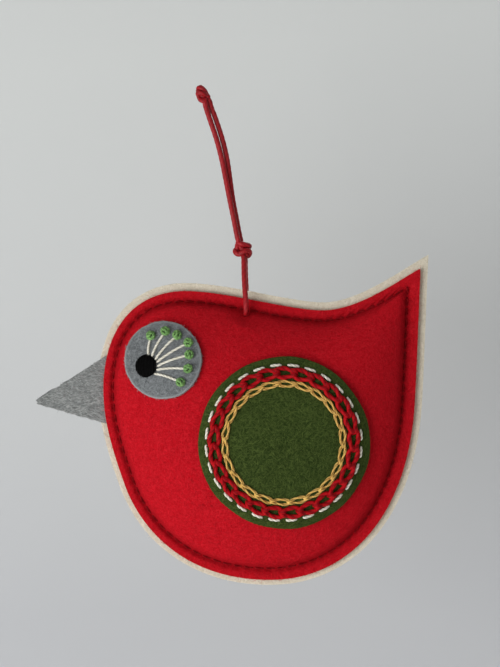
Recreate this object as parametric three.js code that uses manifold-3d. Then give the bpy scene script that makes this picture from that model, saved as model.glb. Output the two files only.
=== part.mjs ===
// A stuffed felt bird that hangs on a doubled waxed cord.
// Millimetres, +Z up. The bird faces -Y, its beak points to -X, and the origin is where the loop hangs.
import * as THREE from "three";
import { mergeVertices } from "three/addons/utils/BufferGeometryUtils.js";
import Module from "manifold-3d";

const wasm = await Module();
wasm.setup();

// Clearances
const clearance = 0.3; // between two pieces that touch
const stitchGap = 0.25; // under a thread that lies on felt
const overrun = 1; // how far a cutting tool runs past what it cuts

// Felt body
const feltThickness = 1.2;
const bodyLength = 79.2; // front felt, from the breast to the tail side
const bodyHeight = 77.9; // front felt, from the belly to the tail tip
const backMargin = 1.65; // how much larger the back felt is cut, all round
const backShift = new THREE.Vector2(0.2, 0.35); // and how far it sits off centre
const seamInset = 2.75; // from the front felt's edge to the seam
const seamShift = new THREE.Vector2(-0.35, 0.15); // the seam runs nearer to the edge at the breast and the back
const seamGrip = 1.1; // from the seam to where the felt is full again
const seamPinch = 0.5; // how much thinner the felt is under the stitches
const frontPuff = 10.2; // how far the filling swells the front felt
const backPuff = 11.6; // and the back felt, which balances the discs on the front
const puffPower = 1.25; // 1 is a straight rise from the seam, more is rounder
const slopeLimit = 1.2; // steepest rise that still thickens the felt along Y
const outlineSteps = 60; // places round a felt's edge
const nearlyShare = 0.98; // of the inset, to tell a crossing from the line itself
const fineSteps = 240; // places round the outline that the seam is worked out from

// Outline of the front felt: a start, then two handles and an end for each curve.
// Shares of the body's length and height, from the tail tip down its side and round.
const outlineStartShare = [1, 1];
const outlineShares = [
  [0.994, 0.87, 0.99, 0.72, 0.982, 0.58],
  [0.967, 0.225, 0.787, 0, 0.524, 0],
  [0.248, 0, 0.109, 0.172, 0.062, 0.319],
  [0.03, 0.411, 0, 0.51, 0, 0.609],
  [0, 0.812, 0.101, 0.926, 0.259, 0.926],
  [0.386, 0.926, 0.585, 0.864, 0.69, 0.864],
  [0.8, 0.864, 0.925, 0.955, 1, 1],
];
const ringShares = [0.9, 0.78, 0.63, 0.46, 0.29, 0.13]; // rings of the dome, as shares of the seam

// Cord
const cordDiameter = 1.3;
const cordSides = 8;
const cordHoleDiameter = cordDiameter + 2 * clearance;
const cordHoleSides = 12;
const holeFromSeam = 1.2; // the hole lies this far inside the seam
const holeAlongShare = 0.449;
const dimpleRadius = 2.6; // the cord pulls the felt in around its hole
const dimpleShare = 0.75;

// Beak: tip and root corners as shares of the body's length and height
const beakTipShare = [-0.2095, 0.57];
const beakTopShare = [0.0032, 0.716];
const beakBottomShare = [0.0095, 0.501];
const beakRootDepth = 5; // how far its root reaches behind the front felt
const beakTipRadius = 0.5;
const beakBlend = 5; // over this distance the felts close again beside the beak

// Eye
const eyeDiameter = 18.9;
const eyePlaceShare = [0.193, 0.703];
const eyeSteps = 32;
const eyeRingShares = [0.72, 0.4];
const pupilDiameter = 5.5;
const pupilThickness = 0.7;
const pupilOffset = new THREE.Vector2(-4.3, -1.4); // from the eye's centre
const pupilSteps = 16;
const pupilRingShares = [0.6];
const lashThread = 0.8;
const lashSides = 6;
const lashSteps = 3;
const lashStartRadius = pupilDiameter / 2 + clearance; // round the pupil
const lashStartAngles = [78, 60, 36, 20, 0, -19, -42];
const knotRadius = 1.15; // a French knot
const knotHeight = 1.3;
const knotSides = 8;
const knotProfileShares = [
  [0, 0],
  [0.75, 0],
  [1, 0.45],
  [0.65, 0.95],
  [0, 0.75],
]; // radius and height, from the middle of its foot to the dimple at its top
const knotMargin = 2.55; // from the eye's edge to the middle of a French knot
const knotRingRadius = eyeDiameter / 2 - knotMargin;
const knotAngles = [117, 87, 62, 36, 13, -18, -51];

// Wing
const wingDiameter = 42;
const wingPlaceShare = [0.567, 0.444];
const wingSteps = 44;
const wingRingShares = [0.8, 0.55, 0.28];
const wingMargin = 1.9; // from the wing's edge to its running stitch
const ringGap = 0.15; // between two rings of stitches
const runningThread = 0.75;
const runningRadius = wingDiameter / 2 - wingMargin;
const runningStitch = { count: 28, thinShare: 0.45, sides: 5 };
const redThread = 1.05;
const redWidth = 2.9;
const redRadius = runningRadius - runningThread / 2 - ringGap - redWidth / 2;
const redChain = { count: 25, radius: redRadius, width: redWidth, thread: redThread };
const goldThread = 0.7;
const goldWidth = 2;
const goldRadius = redRadius - redWidth / 2 - ringGap - goldWidth / 2;
const goldChain = { count: 22, radius: goldRadius, width: goldWidth, thread: goldThread };
const linkSteps = 5;
const openingSteps = 6;
const openingStartShare = 0.28; // of a link, where its strands part
const openingEndShare = 0.92; // and where they have met again
const dropScale = 1.3; // brings the widest place of a link's curve to its full width
const seamThreadDiameter = 0.55;
const seamThreadGap = 0.46; // from the bottom of its groove
const seamStitch = { thinShare: 0.5, sides: 4 };

// The knots of the cord: middle, size of a turn and how much taller it is than wide
const topKnot = { centre: new THREE.Vector3(-0.3, 0, 2.2), turn: 0.95, tallShare: 1.2 };
const lowerKnot = { centre: new THREE.Vector3(4.7, 0, -37.8), turn: 1.5, tallShare: 1 };
const knotTurnTilts = [20, 80, 140]; // degrees, how the turns lie across each other
const turnSteps = 12;
const turnSides = 6;
const tailLength = 1; // of a cut end that stands out of the top knot
const tailAngles = [-48, -4]; // degrees from upright

// Route of the cord: left and right strand above the lower knot, from the top
const leftRoute = [
  [-0.05, -0.45, 0],
  [0.19, -0.45, -1.75],
  [0.75, -0.45, -4.4],
  [1.78, -0.47, -9.6],
  [2.41, -0.5, -14.8],
  [2.75, -0.6, -19.8],
  [3.11, -0.68, -25],
  [3.5, -0.7, -30],
  [3.69, -0.72, -33],
  [3.88, -0.72, -35.2],
];
const rightRoute = [
  [1.15, 0.45, 0],
  [1.39, 0.45, -1.75],
  [1.99, 0.45, -4.4],
  [3.03, 0.47, -9.6],
  [3.66, 0.5, -14.8],
  [3.78, 0.6, -19.8],
  [3.86, 0.68, -25],
  [4.17, 0.7, -30],
  [4.34, 0.72, -33],
  [4.53, 0.72, -35.2],
];
// Half of the loop below it: from the lower knot down one side and round into the hole
const lowerRoute = [
  [4.84, 1.2, -40.2],
  [4.68, 1.75, -41.6],
  [4.41, 2.6, -44.2],
  [4.18, 3.35, -47.2],
  [4.01, 3.9, -50.2],
  [3.85, 4.05, -51.7],
  [3.69, 3.6, -53.1],
  [3.56, 2.75, -53.8],
  [3.53, 1.7, -53.95],
];
const holePlace = new THREE.Vector3(3.53, 0, -53.95);
const strandSteps = 13;
const lowerLoopSteps = 20;

const colours = {
  redFelt: 0xa3121c,
  creamFelt: 0xcfc2a8,
  greyFelt: 0x8b9095,
  greenFelt: 0x34491f,
  filling: 0xf0ece2,
  cord: 0xa8262c,
  redThread: 0xb0182a,
  whiteThread: 0xe2ddc8,
  goldThread: 0xd0a347,
  greenThread: 0x5c9b45,
  blackThread: 0x121212,
  creamThread: 0xd8ceb6,
};

// Solids

function solidOf(geometry) {
  const bare = geometry.clone();
  bare.deleteAttribute("normal");
  bare.deleteAttribute("uv");
  const merged = mergeVertices(bare.index ? bare.toNonIndexed() : bare, 1e-4);
  return new wasm.Manifold(
    new wasm.Mesh({
      numProp: 3,
      vertProperties: merged.attributes.position.array,
      triVerts: new Uint32Array(merged.index.array),
    }),
  );
}

function geometryOf(solid) {
  const mesh = solid.getMesh();
  const geometry = new THREE.BufferGeometry();
  geometry.setAttribute("position", new THREE.BufferAttribute(mesh.vertProperties, mesh.numProp));
  geometry.setIndex(new THREE.BufferAttribute(mesh.triVerts, 1));
  return geometry;
}

function join(geometries) {
  return geometryOf(geometries.map(solidOf).reduce((all, next) => all.add(next)));
}

function cut(geometry, tool) {
  return geometryOf(solidOf(geometry).subtract(solidOf(tool)));
}

// A closed sheet over rings of places, from its edge to its middle, with the Y of its two faces.
function sheetGeometry(rings, middle, frontY, backY) {
  const around = rings[0].length;
  const vertices = [];
  for (const faceY of [frontY, backY]) {
    rings.forEach((ring, r) => ring.forEach((p) => vertices.push(p.x, faceY(p, r), p.y)));
    vertices.push(middle.x, faceY(middle, rings.length), middle.y);
  }
  const faceSize = rings.length * around + 1;
  const at = (face, r, i) => face * faceSize + r * around + (i % around);
  const centre = (face) => face * faceSize + faceSize - 1;
  const triangles = [];
  const add = (face, a, b, c) => triangles.push(...(face === 0 ? [a, b, c] : [a, c, b]));
  for (const face of [0, 1]) {
    for (let i = 0; i < around; i++) {
      for (let r = 0; r + 1 < rings.length; r++) {
        add(face, at(face, r, i + 1), at(face, r, i), at(face, r + 1, i));
        add(face, at(face, r, i + 1), at(face, r + 1, i), at(face, r + 1, i + 1));
      }
      const last = rings.length - 1;
      add(face, at(face, last, i + 1), at(face, last, i), centre(face));
    }
  }
  for (let i = 0; i < around; i++) {
    triangles.push(at(0, 0, i), at(0, 0, i + 1), at(1, 0, i + 1));
    triangles.push(at(0, 0, i), at(1, 0, i + 1), at(1, 0, i));
  }
  const geometry = new THREE.BufferGeometry();
  geometry.setAttribute("position", new THREE.Float32BufferAttribute(vertices, 3));
  geometry.setIndex(triangles);
  return geometry;
}

// A closed ring of thread through places on the felt, with a radius for each place.
function ringTube(places, radiusAt, sides) {
  const vertices = [];
  const tangent = new THREE.Vector3();
  const side = new THREE.Vector3();
  places.forEach(({ point, up }, i) => {
    const next = places[(i + 1) % places.length].point;
    const last = places[(i + places.length - 1) % places.length].point;
    tangent.subVectors(next, last).normalize();
    side.crossVectors(tangent, up).normalize();
    const over = new THREE.Vector3().crossVectors(side, tangent);
    for (let s = 0; s < sides; s++) {
      const angle = (2 * Math.PI * (s + 1 / 2)) / sides;
      const corner = point.clone();
      corner.addScaledVector(side, radiusAt(i) * Math.cos(angle));
      corner.addScaledVector(over, radiusAt(i) * Math.sin(angle));
      vertices.push(corner.x, corner.y, corner.z);
    }
  });
  const triangles = [];
  const at = (i, s) => (i % places.length) * sides + (s % sides);
  for (let i = 0; i < places.length; i++) {
    for (let s = 0; s < sides; s++) {
      triangles.push(at(i, s), at(i + 1, s), at(i + 1, s + 1));
      triangles.push(at(i, s), at(i + 1, s + 1), at(i, s + 1));
    }
  }
  const geometry = new THREE.BufferGeometry();
  geometry.setAttribute("position", new THREE.Float32BufferAttribute(vertices, 3));
  geometry.setIndex(triangles);
  return geometry;
}

function polygonShape(radius, sides) {
  const corners = [];
  for (let s = 0; s < sides; s++) {
    const angle = (2 * Math.PI * s) / sides;
    corners.push(new THREE.Vector2(radius * Math.cos(angle), radius * Math.sin(angle)));
  }
  return new THREE.Shape(corners);
}

function tubeAlong(points, diameter, sides, steps) {
  const path = new THREE.CatmullRomCurve3(points);
  return new THREE.ExtrudeGeometry(polygonShape(diameter / 2, sides), {
    steps,
    extrudePath: path,
    bevelEnabled: false,
  });
}

// Outlines: loops of places as seen from the front, clockwise, with Z in their y

function bodyOutline(steps) {
  const across = (share) => share * bodyLength;
  const up = (share) => share * bodyHeight;
  const shape = new THREE.Shape();
  shape.moveTo(across(outlineStartShare[0]), up(outlineStartShare[1]));
  for (const [ax, az, bx, bz, x, z] of outlineShares) {
    shape.bezierCurveTo(across(ax), up(az), across(bx), up(bz), across(x), up(z));
  }
  return shape.getSpacedPoints(steps).slice(0, steps);
}

// Directions out of a clockwise loop, one for each of its places.
function outwardOf(loop) {
  const outward = (a, b) => new THREE.Vector2(a.y - b.y, b.x - a.x).normalize();
  return loop.map((point, i) => {
    const before = outward(loop[(i + loop.length - 1) % loop.length], point);
    const after = outward(point, loop[(i + 1) % loop.length]);
    const between = before.add(after).normalize();
    return between.divideScalar(between.dot(after));
  });
}

function grownLoop(loop, distance, shift) {
  const outward = outwardOf(loop);
  return loop.map((point, i) => point.clone().addScaledVector(outward[i], distance).add(shift));
}

function distanceToLoop(loop, point) {
  const nearest = new THREE.Vector3();
  const place = new THREE.Vector3(point.x, point.y, 0);
  const distances = loop.map((a, i) => {
    const b = loop[(i + 1) % loop.length];
    const side = new THREE.Line3(new THREE.Vector3(a.x, a.y, 0), new THREE.Vector3(b.x, b.y, 0));
    return side.closestPointToPoint(place, true, nearest).distanceTo(place);
  });
  return Math.min(...distances);
}

// The line that runs a distance inside a loop, without the crossings that a sharp corner makes.
function insetLoop(loop, distance) {
  const outward = outwardOf(loop);
  const moved = loop.map((point, i) => point.clone().addScaledVector(outward[i], -distance));
  return moved.filter((point) => distanceToLoop(loop, point) > nearlyShare * distance);
}

// Where the lines from the middle to each target cross a loop.
function alongRays(loop, centre, targets) {
  return targets.map((target) => {
    const ray = target.clone().sub(centre);
    for (let i = 0; i < loop.length; i++) {
      const a = loop[i].clone().sub(centre);
      const side = loop[(i + 1) % loop.length].clone().sub(centre).sub(a);
      const share = -a.cross(ray) / side.cross(ray);
      const place = a.addScaledVector(side, share);
      if (share >= 0 && share <= 1 && place.dot(ray) > 0) return place.add(centre);
    }
    throw new Error("no crossing");
  });
}

function circleLoop(centre, radius, steps) {
  const loop = [];
  for (let i = 0; i < steps; i++) {
    const angle = (-2 * Math.PI * i) / steps;
    loop.push(new THREE.Vector2(radius * Math.cos(angle), radius * Math.sin(angle)).add(centre));
  }
  return loop;
}

function scaledLoop(loop, centre, share) {
  return loop.map((point) => point.clone().sub(centre).multiplyScalar(share).add(centre));
}

// The body's frame has its origin in the cord's hole, in the plane between the two felts.

function topEdgeAt(loop, x) {
  let highest = -Infinity;
  loop.forEach((a, i) => {
    const b = loop[(i + 1) % loop.length];
    if (a.x <= x !== b.x <= x) {
      highest = Math.max(highest, THREE.MathUtils.mapLinear(x, a.x, b.x, a.y, b.y));
    }
  });
  return highest;
}

const fineOutline = bodyOutline(fineSteps);
const fineSeam = insetLoop(fineOutline, seamInset).map((point) => point.add(seamShift));
const holeX = holeAlongShare * bodyLength;
const bodyOrigin = new THREE.Vector2(holeX, topEdgeAt(fineSeam, holeX) - holeFromSeam);
[fineOutline, fineSeam].forEach((loop) => loop.forEach((point) => point.sub(bodyOrigin)));

function bodyPlace([alongShare, upShare]) {
  return new THREE.Vector2(alongShare * bodyLength, upShare * bodyHeight).sub(bodyOrigin);
}

const middle = fineSeam
  .reduce((sum, point) => sum.add(point), new THREE.Vector2())
  .divideScalar(fineSeam.length);
const frontEdge = bodyOutline(outlineSteps).map((point) => point.sub(bodyOrigin));
const backEdge = grownLoop(frontEdge, backMargin, backShift);
const seam = alongRays(fineSeam, middle, frontEdge);
const seamOuter = alongRays(insetLoop(fineOutline, seamInset - seamGrip), middle, frontEdge);
const seamInner = alongRays(insetLoop(fineOutline, seamInset + seamGrip), middle, frontEdge);

// Depth inside the seam: the distance from its edge, smooth all over, nothing outside.
function depthInside(x, z) {
  let sum = 0;
  seam.forEach((a, i) => {
    const b = seam[(i + 1) % seam.length];
    const [ax, az, bx, bz] = [a.x - x, a.y - z, b.x - x, b.y - z];
    const [al, bl] = [Math.hypot(ax, az), Math.hypot(bx, bz)];
    const tangentOfHalf = (bx * az - ax * bz) / (al * bl + ax * bx + az * bz);
    sum += tangentOfHalf * (1 / al + 1 / bl);
  });
  return sum > 0 ? 2 / sum : 0;
}

const deepest = Math.max(
  ...[0, 1 / 4, 1 / 2].flatMap((share) =>
    scaledLoop(seam, middle, share).map((point) => depthInside(point.x, point.y)),
  ),
);

// How far the filling swells a felt at a place, as a share of its puff.
function swell(x, z) {
  const share = Math.min(1, depthInside(x, z) / deepest);
  const dimple = dimpleShare * Math.exp(-((Math.hypot(x, z) / dimpleRadius) ** 2));
  return (1 - (1 - share) ** puffPower) * (1 - dimple);
}

// Half of the room between the two felts before they swell: the beak's root opens it.
const beakTip = bodyPlace(beakTipShare);
const beakTop = bodyPlace(beakTopShare);
const beakBottom = bodyPlace(beakBottomShare);
const beakRootX = bodyPlace([0, 0]).x + beakRootDepth;

function halfRoom(x, z) {
  const beside = Math.abs(z - (beakTop.y + beakBottom.y) / 2) - (beakTop.y - beakBottom.y) / 2;
  const away = Math.hypot(Math.max(0, x - beakRootX), Math.max(0, beside));
  const closed = THREE.MathUtils.smoothstep(away, feltThickness, feltThickness + beakBlend);
  return THREE.MathUtils.lerp(feltThickness / 2 + clearance, clearance / 2, closed);
}

// Y of the felts: side is -1 for the front and 1 for the back, and measured outwards.
function innerDepth(side, x, z) {
  return halfRoom(x, z) + (side < 0 ? frontPuff : backPuff) * swell(x, z);
}

// Thickness along Y of a sheet that lies on a slope.
function thicknessAt(depth, x, z) {
  const step = feltThickness / 4;
  const slopeX = (depth(x + step, z) - depth(x - step, z)) / (2 * step);
  const slopeZ = (depth(x, z + step) - depth(x, z - step)) / (2 * step);
  return feltThickness * Math.sqrt(1 + Math.min(slopeLimit, Math.hypot(slopeX, slopeZ)) ** 2);
}

function outerDepth(side, x, z) {
  const depth = (px, pz) => innerDepth(side, px, pz);
  return depth(x, z) + thicknessAt(depth, x, z);
}

// Where the seam pinches the felt it lies at this depth.
function seamDepth(x, z) {
  return halfRoom(x, z) + feltThickness - seamPinch;
}

function bodyFelt(side, edge) {
  const rings = [
    edge,
    seamOuter,
    seam,
    seamInner,
    ...ringShares.map((share) => scaledLoop(seam, middle, share)),
  ];
  const flat = 2; // rings outside the seam
  const inner = (p, r) => (r <= flat ? halfRoom(p.x, p.y) : innerDepth(side, p.x, p.y));
  const outer = (p, r) => {
    if (r === flat) return seamDepth(p.x, p.y);
    return r < flat ? halfRoom(p.x, p.y) + feltThickness : outerDepth(side, p.x, p.y);
  };
  const sheet =
    side < 0
      ? sheetGeometry(rings, middle, (p, r) => -outer(p, r), (p, r) => -inner(p, r))
      : sheetGeometry(rings, middle, inner, outer);
  return cut(sheet, cordHole());
}

function cordHole() {
  const length = 2 * (Math.max(frontPuff, backPuff) + feltThickness + overrun);
  return new THREE.CylinderGeometry(cordHoleDiameter / 2, cordHoleDiameter / 2, length, cordHoleSides);
}

function filling() {
  const everyOther = ringShares.filter((_, r) => r % 2 === 0);
  const rings = everyOther.map((share) => scaledLoop(seam, middle, share));
  const front = (p) => clearance - innerDepth(-1, p.x, p.y);
  const back = (p) => innerDepth(1, p.x, p.y) - clearance;
  return cut(sheetGeometry(rings, middle, front, back), beakSheet(clearance));
}

// The beak's felt, or the room that it takes when it is grown by a margin.
function beakSheet(margin) {
  const tip = new THREE.Vector2(beakTip.x + beakTipRadius, beakTip.y);
  const shape = new THREE.Shape();
  const high = beakTop.y + margin;
  const low = beakBottom.y - margin;
  const root = beakRootX + margin;
  shape.moveTo(root, high);
  shape.lineTo(root, low);
  shape.lineTo(beakBottom.x, low);
  shape.lineTo(tip.x, tip.y - beakTipRadius);
  shape.quadraticCurveTo(beakTip.x, tip.y, tip.x, tip.y + beakTipRadius);
  shape.lineTo(beakTop.x, high);
  const depth = feltThickness + 2 * margin;
  const sheet = new THREE.ExtrudeGeometry(shape, { depth, bevelEnabled: false, curveSegments: 4 });
  return sheet.rotateX(Math.PI / 2).translate(0, depth / 2, 0);
}

// A disc of felt or of satin stitches that lies on another surface.
function drapedDisc(centre, radius, steps, shares, under, thickness) {
  const edge = circleLoop(centre, radius, steps);
  const rings = [edge, ...shares.map((share) => scaledLoop(edge, centre, share))];
  const low = (p) => under(p.x, p.y) + stitchGap;
  return sheetGeometry(
    rings,
    centre,
    (p, r) => -low(p) - thickness(p, r),
    (p) => -low(p),
  );
}

const redSurface = (x, z) => outerDepth(-1, x, z);

function discSurface(x, z) {
  return redSurface(x, z) + stitchGap + thicknessAt(redSurface, x, z);
}

const eyeCentre = bodyPlace(eyePlaceShare);
const pupilCentre = eyeCentre.clone().add(pupilOffset);
const wingCentre = bodyPlace(wingPlaceShare);
const discThickness = (p) => thicknessAt(redSurface, p.x, p.y);

function polarPlace(centre, radius, degrees) {
  const angle = THREE.MathUtils.degToRad(degrees);
  return new THREE.Vector2(radius * Math.cos(angle), radius * Math.sin(angle)).add(centre);
}

// Direction away from a surface that is given by its depth towards the front.
function upFrom(surface, x, z) {
  const step = feltThickness / 4;
  const slopeX = (surface(x + step, z) - surface(x - step, z)) / (2 * step);
  const slopeZ = (surface(x, z + step) - surface(x, z - step)) / (2 * step);
  return new THREE.Vector3(-slopeX, -1, -slopeZ).normalize();
}

// A place on the surface, raised by what lies between it and the surface.
function raised(surface, place, rise) {
  const up = upFrom(surface, place.x, place.y);
  const point = new THREE.Vector3(place.x, -surface(place.x, place.y), place.y);
  return { point: point.addScaledVector(up, rise), up };
}

function lash(i) {
  const end = polarPlace(eyeCentre, knotRingRadius, knotAngles[i]);
  const start = polarPlace(pupilCentre, lashStartRadius, lashStartAngles[i]);
  const direction = end.clone().sub(start);
  const length = direction.length() - knotRadius - clearance;
  direction.normalize();
  const points = [];
  for (let s = 0; s <= lashSteps; s++) {
    const place = start.clone().addScaledVector(direction, (length * s) / lashSteps);
    points.push(raised(discSurface, place, lashThread / 2 + stitchGap).point);
  }
  return tubeAlong(points, lashThread, lashSides, lashSteps);
}

// A French knot: two turns round the needle, drawn tight, with a dimple at its top.
function frenchKnot(i) {
  const profile = knotProfileShares.map(
    ([across, up]) => new THREE.Vector2(across * knotRadius, up * knotHeight),
  );
  const geometry = new THREE.LatheGeometry(profile, knotSides);
  const place = polarPlace(eyeCentre, knotRingRadius, knotAngles[i]);
  const { point, up } = raised(discSurface, place, stitchGap * 2);
  const turn = new THREE.Quaternion().setFromUnitVectors(new THREE.Vector3(0, 1, 0), up);
  return geometry.applyQuaternion(turn).translate(point.x, point.y, point.z);
}

// One thread all round the wing, full on top of the felt and thin where it dips in.
function wingRunningThread() {
  const { count, thinShare, sides } = runningStitch;
  const perStitch = 4;
  const thick = (i) => (runningThread / 2) * (i % perStitch < 2 ? 1 : thinShare);
  const places = circleLoop(wingCentre, runningRadius, count * perStitch).map((place, i) =>
    raised(discSurface, place, thick(i) + stitchGap),
  );
  return ringTube(places, thick, sides);
}

// How far a chain's two strands stand apart at a share of a link: nothing at its pointed start,
// most past its middle, and closed again by its round end.
function linkSpread(share) {
  const phase = Math.acos(1 - 2 * share);
  return dropScale * Math.sin(phase) * Math.sin(phase / 2);
}

function onRing(radius, angle) {
  return new THREE.Vector2(radius * Math.cos(angle), radius * Math.sin(angle));
}

// A ring of chain stitches, each link coming up inside the one before: a band that swells at each
// link, with an opening between its two strands.
function chain({ count, radius, width, thread }) {
  const pitch = (2 * Math.PI) / count;
  const closest = thread; // half of the band's width where two links meet
  const halfWidth = (share) => Math.max(closest, linkSpread(share) * (width / 2));
  const edgeLoop = (side) => {
    const loop = [];
    for (let i = 0; i < count * linkSteps; i++) {
      const across = radius + side * halfWidth((i % linkSteps) / linkSteps);
      loop.push(onRing(across, (i / linkSteps) * pitch));
    }
    return loop;
  };
  const opening = (k) => {
    const loop = [];
    for (let i = 0; i < openingSteps; i++) {
      const phase = (2 * Math.PI * i) / openingSteps;
      const share = THREE.MathUtils.lerp(openingStartShare, openingEndShare, (1 - Math.cos(phase)) / 2);
      const across = Math.sin(phase) * Math.sin(phase / 2) * dropScale * (width / 2 - thread);
      loop.push(onRing(radius + across, (k + share) * pitch));
    }
    return new THREE.Path(loop);
  };
  const band = new THREE.Shape(edgeLoop(1));
  band.holes.push(new THREE.Path(edgeLoop(-1)));
  for (let k = 0; k < count; k++) {
    band.holes.push(opening(k));
  }
  const geometry = new THREE.ExtrudeGeometry(band, { depth: thread, bevelEnabled: false });
  return draped(geometry, wingCentre, discSurface);
}

// Lays a flat geometry on a surface: its X and Y go along the felt and its Z goes out of it.
function draped(geometry, centre, surface) {
  const places = geometry.attributes.position;
  for (let i = 0; i < places.count; i++) {
    const place = new THREE.Vector2(places.getX(i), places.getY(i)).add(centre);
    const { point } = raised(surface, place, places.getZ(i) + stitchGap);
    places.setXYZ(i, point.x, point.y, point.z);
  }
  return geometry;
}

// The seam's thread on one side, lying in the groove that it pulls: a stitch for each place.
function seamThread(side) {
  const { thinShare, sides } = seamStitch;
  const groove = seam.map((place) => new THREE.Vector3(place.x, seamDepth(place.x, place.y), place.y));
  const thick = (i) => (seamThreadDiameter / 2) * (i % 2 === 0 ? 1 : thinShare);
  const places = groove
    .flatMap((place, i) => [place, place.clone().lerp(groove[(i + 1) % groove.length], 1 / 2)])
    .map((place, i) => ({
      point: new THREE.Vector3(place.x, side * (place.y + seamThreadGap + thick(i)), place.z),
      up: new THREE.Vector3(0, side, 0),
    }));
  return ringTube(places, thick, sides);
}

// A knot of the cord: turns that cross each other round a core, all pulled tight.
function cordKnot({ centre, turn, tallShare }, tails) {
  const pieces = [new THREE.SphereGeometry(turn, turnSides * 2, turnSides)];
  for (const tilt of knotTurnTilts) {
    const ring = new THREE.TorusGeometry(turn, cordDiameter / 2, turnSides, turnSteps);
    ring.rotateX(THREE.MathUtils.degToRad(tilt / 2));
    ring.rotateY(THREE.MathUtils.degToRad(tilt));
    pieces.push(ring);
  }
  for (const angle of tails) {
    const length = turn + tailLength;
    const tail = new THREE.CylinderGeometry(cordDiameter / 2, cordDiameter / 2, length, cordSides);
    tail.rotateX(Math.PI / 2).translate(0, 0, length / 2);
    pieces.push(tail.rotateY(THREE.MathUtils.degToRad(angle)));
  }
  const knot = join(pieces);
  return knot.scale(1, 1, tallShare).translate(centre.x, centre.y, centre.z);
}

function strand(route) {
  const points = route.map((place) => new THREE.Vector3(...place));
  return tubeAlong(points, cordDiameter, cordSides, strandSteps);
}

function lowerLoop() {
  const back = lowerRoute.map((place) => new THREE.Vector3(...place));
  const front = back.map((p) => new THREE.Vector3(p.x, -p.y, p.z));
  const points = [...front, holePlace, ...back.reverse()];
  return tubeAlong(points, cordDiameter, cordSides, lowerLoopSteps);
}

// Scene graph

function piece(group, name, geometry, color, roughness) {
  const material = new THREE.MeshStandardMaterial({ color, roughness, metalness: 0 });
  const mesh = new THREE.Mesh(geometry, material);
  mesh.name = name;
  group.add(mesh);
}

const felt = 0.95; // roughness
const yarn = 0.7;
const wax = 0.45;

function buildBird() {
  const bird = new THREE.Group();
  const pupilRise = (p, r) => pupilThickness * (r === 0 ? 1 / 2 : 1);
  piece(bird, "red_front_felt", bodyFelt(-1, frontEdge), colours.redFelt, felt);
  piece(bird, "cream_back_felt", bodyFelt(1, backEdge), colours.creamFelt, felt);
  piece(bird, "filling", filling(), colours.filling, felt);
  piece(bird, "beak_felt", beakSheet(0), colours.greyFelt, felt);
  piece(
    bird,
    "eye_disc",
    drapedDisc(eyeCentre, eyeDiameter / 2, eyeSteps, eyeRingShares, redSurface, discThickness),
    colours.greyFelt,
    felt,
  );
  piece(
    bird,
    "wing_disc",
    drapedDisc(wingCentre, wingDiameter / 2, wingSteps, wingRingShares, redSurface, discThickness),
    colours.greenFelt,
    felt,
  );
  piece(
    bird,
    "pupil_stitch",
    drapedDisc(pupilCentre, pupilDiameter / 2, pupilSteps, pupilRingShares, discSurface, pupilRise),
    colours.blackThread,
    yarn,
  );
  knotAngles.forEach((_, i) => {
    piece(bird, "lash_stitch_" + (i + 1), lash(i), colours.whiteThread, yarn);
    piece(bird, "french_knot_" + (i + 1), frenchKnot(i), colours.greenThread, yarn);
  });
  piece(bird, "wing_running_thread", wingRunningThread(), colours.whiteThread, yarn);
  piece(bird, "red_chain_stitch", chain(redChain), colours.redThread, yarn);
  piece(bird, "gold_chain_stitch", chain(goldChain), colours.goldThread, yarn);
  piece(bird, "seam_thread_front", seamThread(-1), colours.redThread, yarn);
  piece(bird, "seam_thread_back", seamThread(1), colours.creamThread, yarn);
  return bird;
}

// Centre of mass of meshes of one density.
function centreOfMass(group) {
  const weighted = new THREE.Vector3();
  let volume = 0;
  for (const mesh of group.children) {
    const loose = mesh.geometry.index ? mesh.geometry.toNonIndexed() : mesh.geometry;
    const places = loose.attributes.position;
    const corners = [new THREE.Vector3(), new THREE.Vector3(), new THREE.Vector3()];
    for (let i = 0; i < places.count; i += 3) {
      corners.forEach((corner, c) => corner.fromBufferAttribute(places, i + c));
      const part = corners[0].dot(new THREE.Vector3().crossVectors(corners[1], corners[2])) / 6;
      volume += part;
      corners.forEach((corner) => weighted.addScaledVector(corner, part / 4));
    }
  }
  return weighted.divideScalar(volume);
}

// The bird hangs plumb: its centre of mass lies under the hole, and in the plane of the cord.
const bird = buildBird();
const heavy = centreOfMass(bird);
bird.rotation.y = Math.atan2(heavy.x, -heavy.z);
bird.position.set(holePlace.x, holePlace.y - heavy.y, holePlace.z);

const ornament = new THREE.Group();
piece(ornament, "top_knot", cordKnot(topKnot, tailAngles), colours.cord, wax);
piece(ornament, "cord_strand_left", strand(leftRoute), colours.cord, wax);
piece(ornament, "cord_strand_right", strand(rightRoute), colours.cord, wax);
piece(ornament, "lower_knot", cordKnot(lowerKnot, []), colours.cord, wax);
piece(ornament, "lower_loop", lowerLoop(), colours.cord, wax);
ornament.add(bird);

export default ornament;
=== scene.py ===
import math

import bmesh
import bpy
import numpy as np
from mathutils import Matrix, Vector
from mathutils.bvhtree import BVHTree


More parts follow.
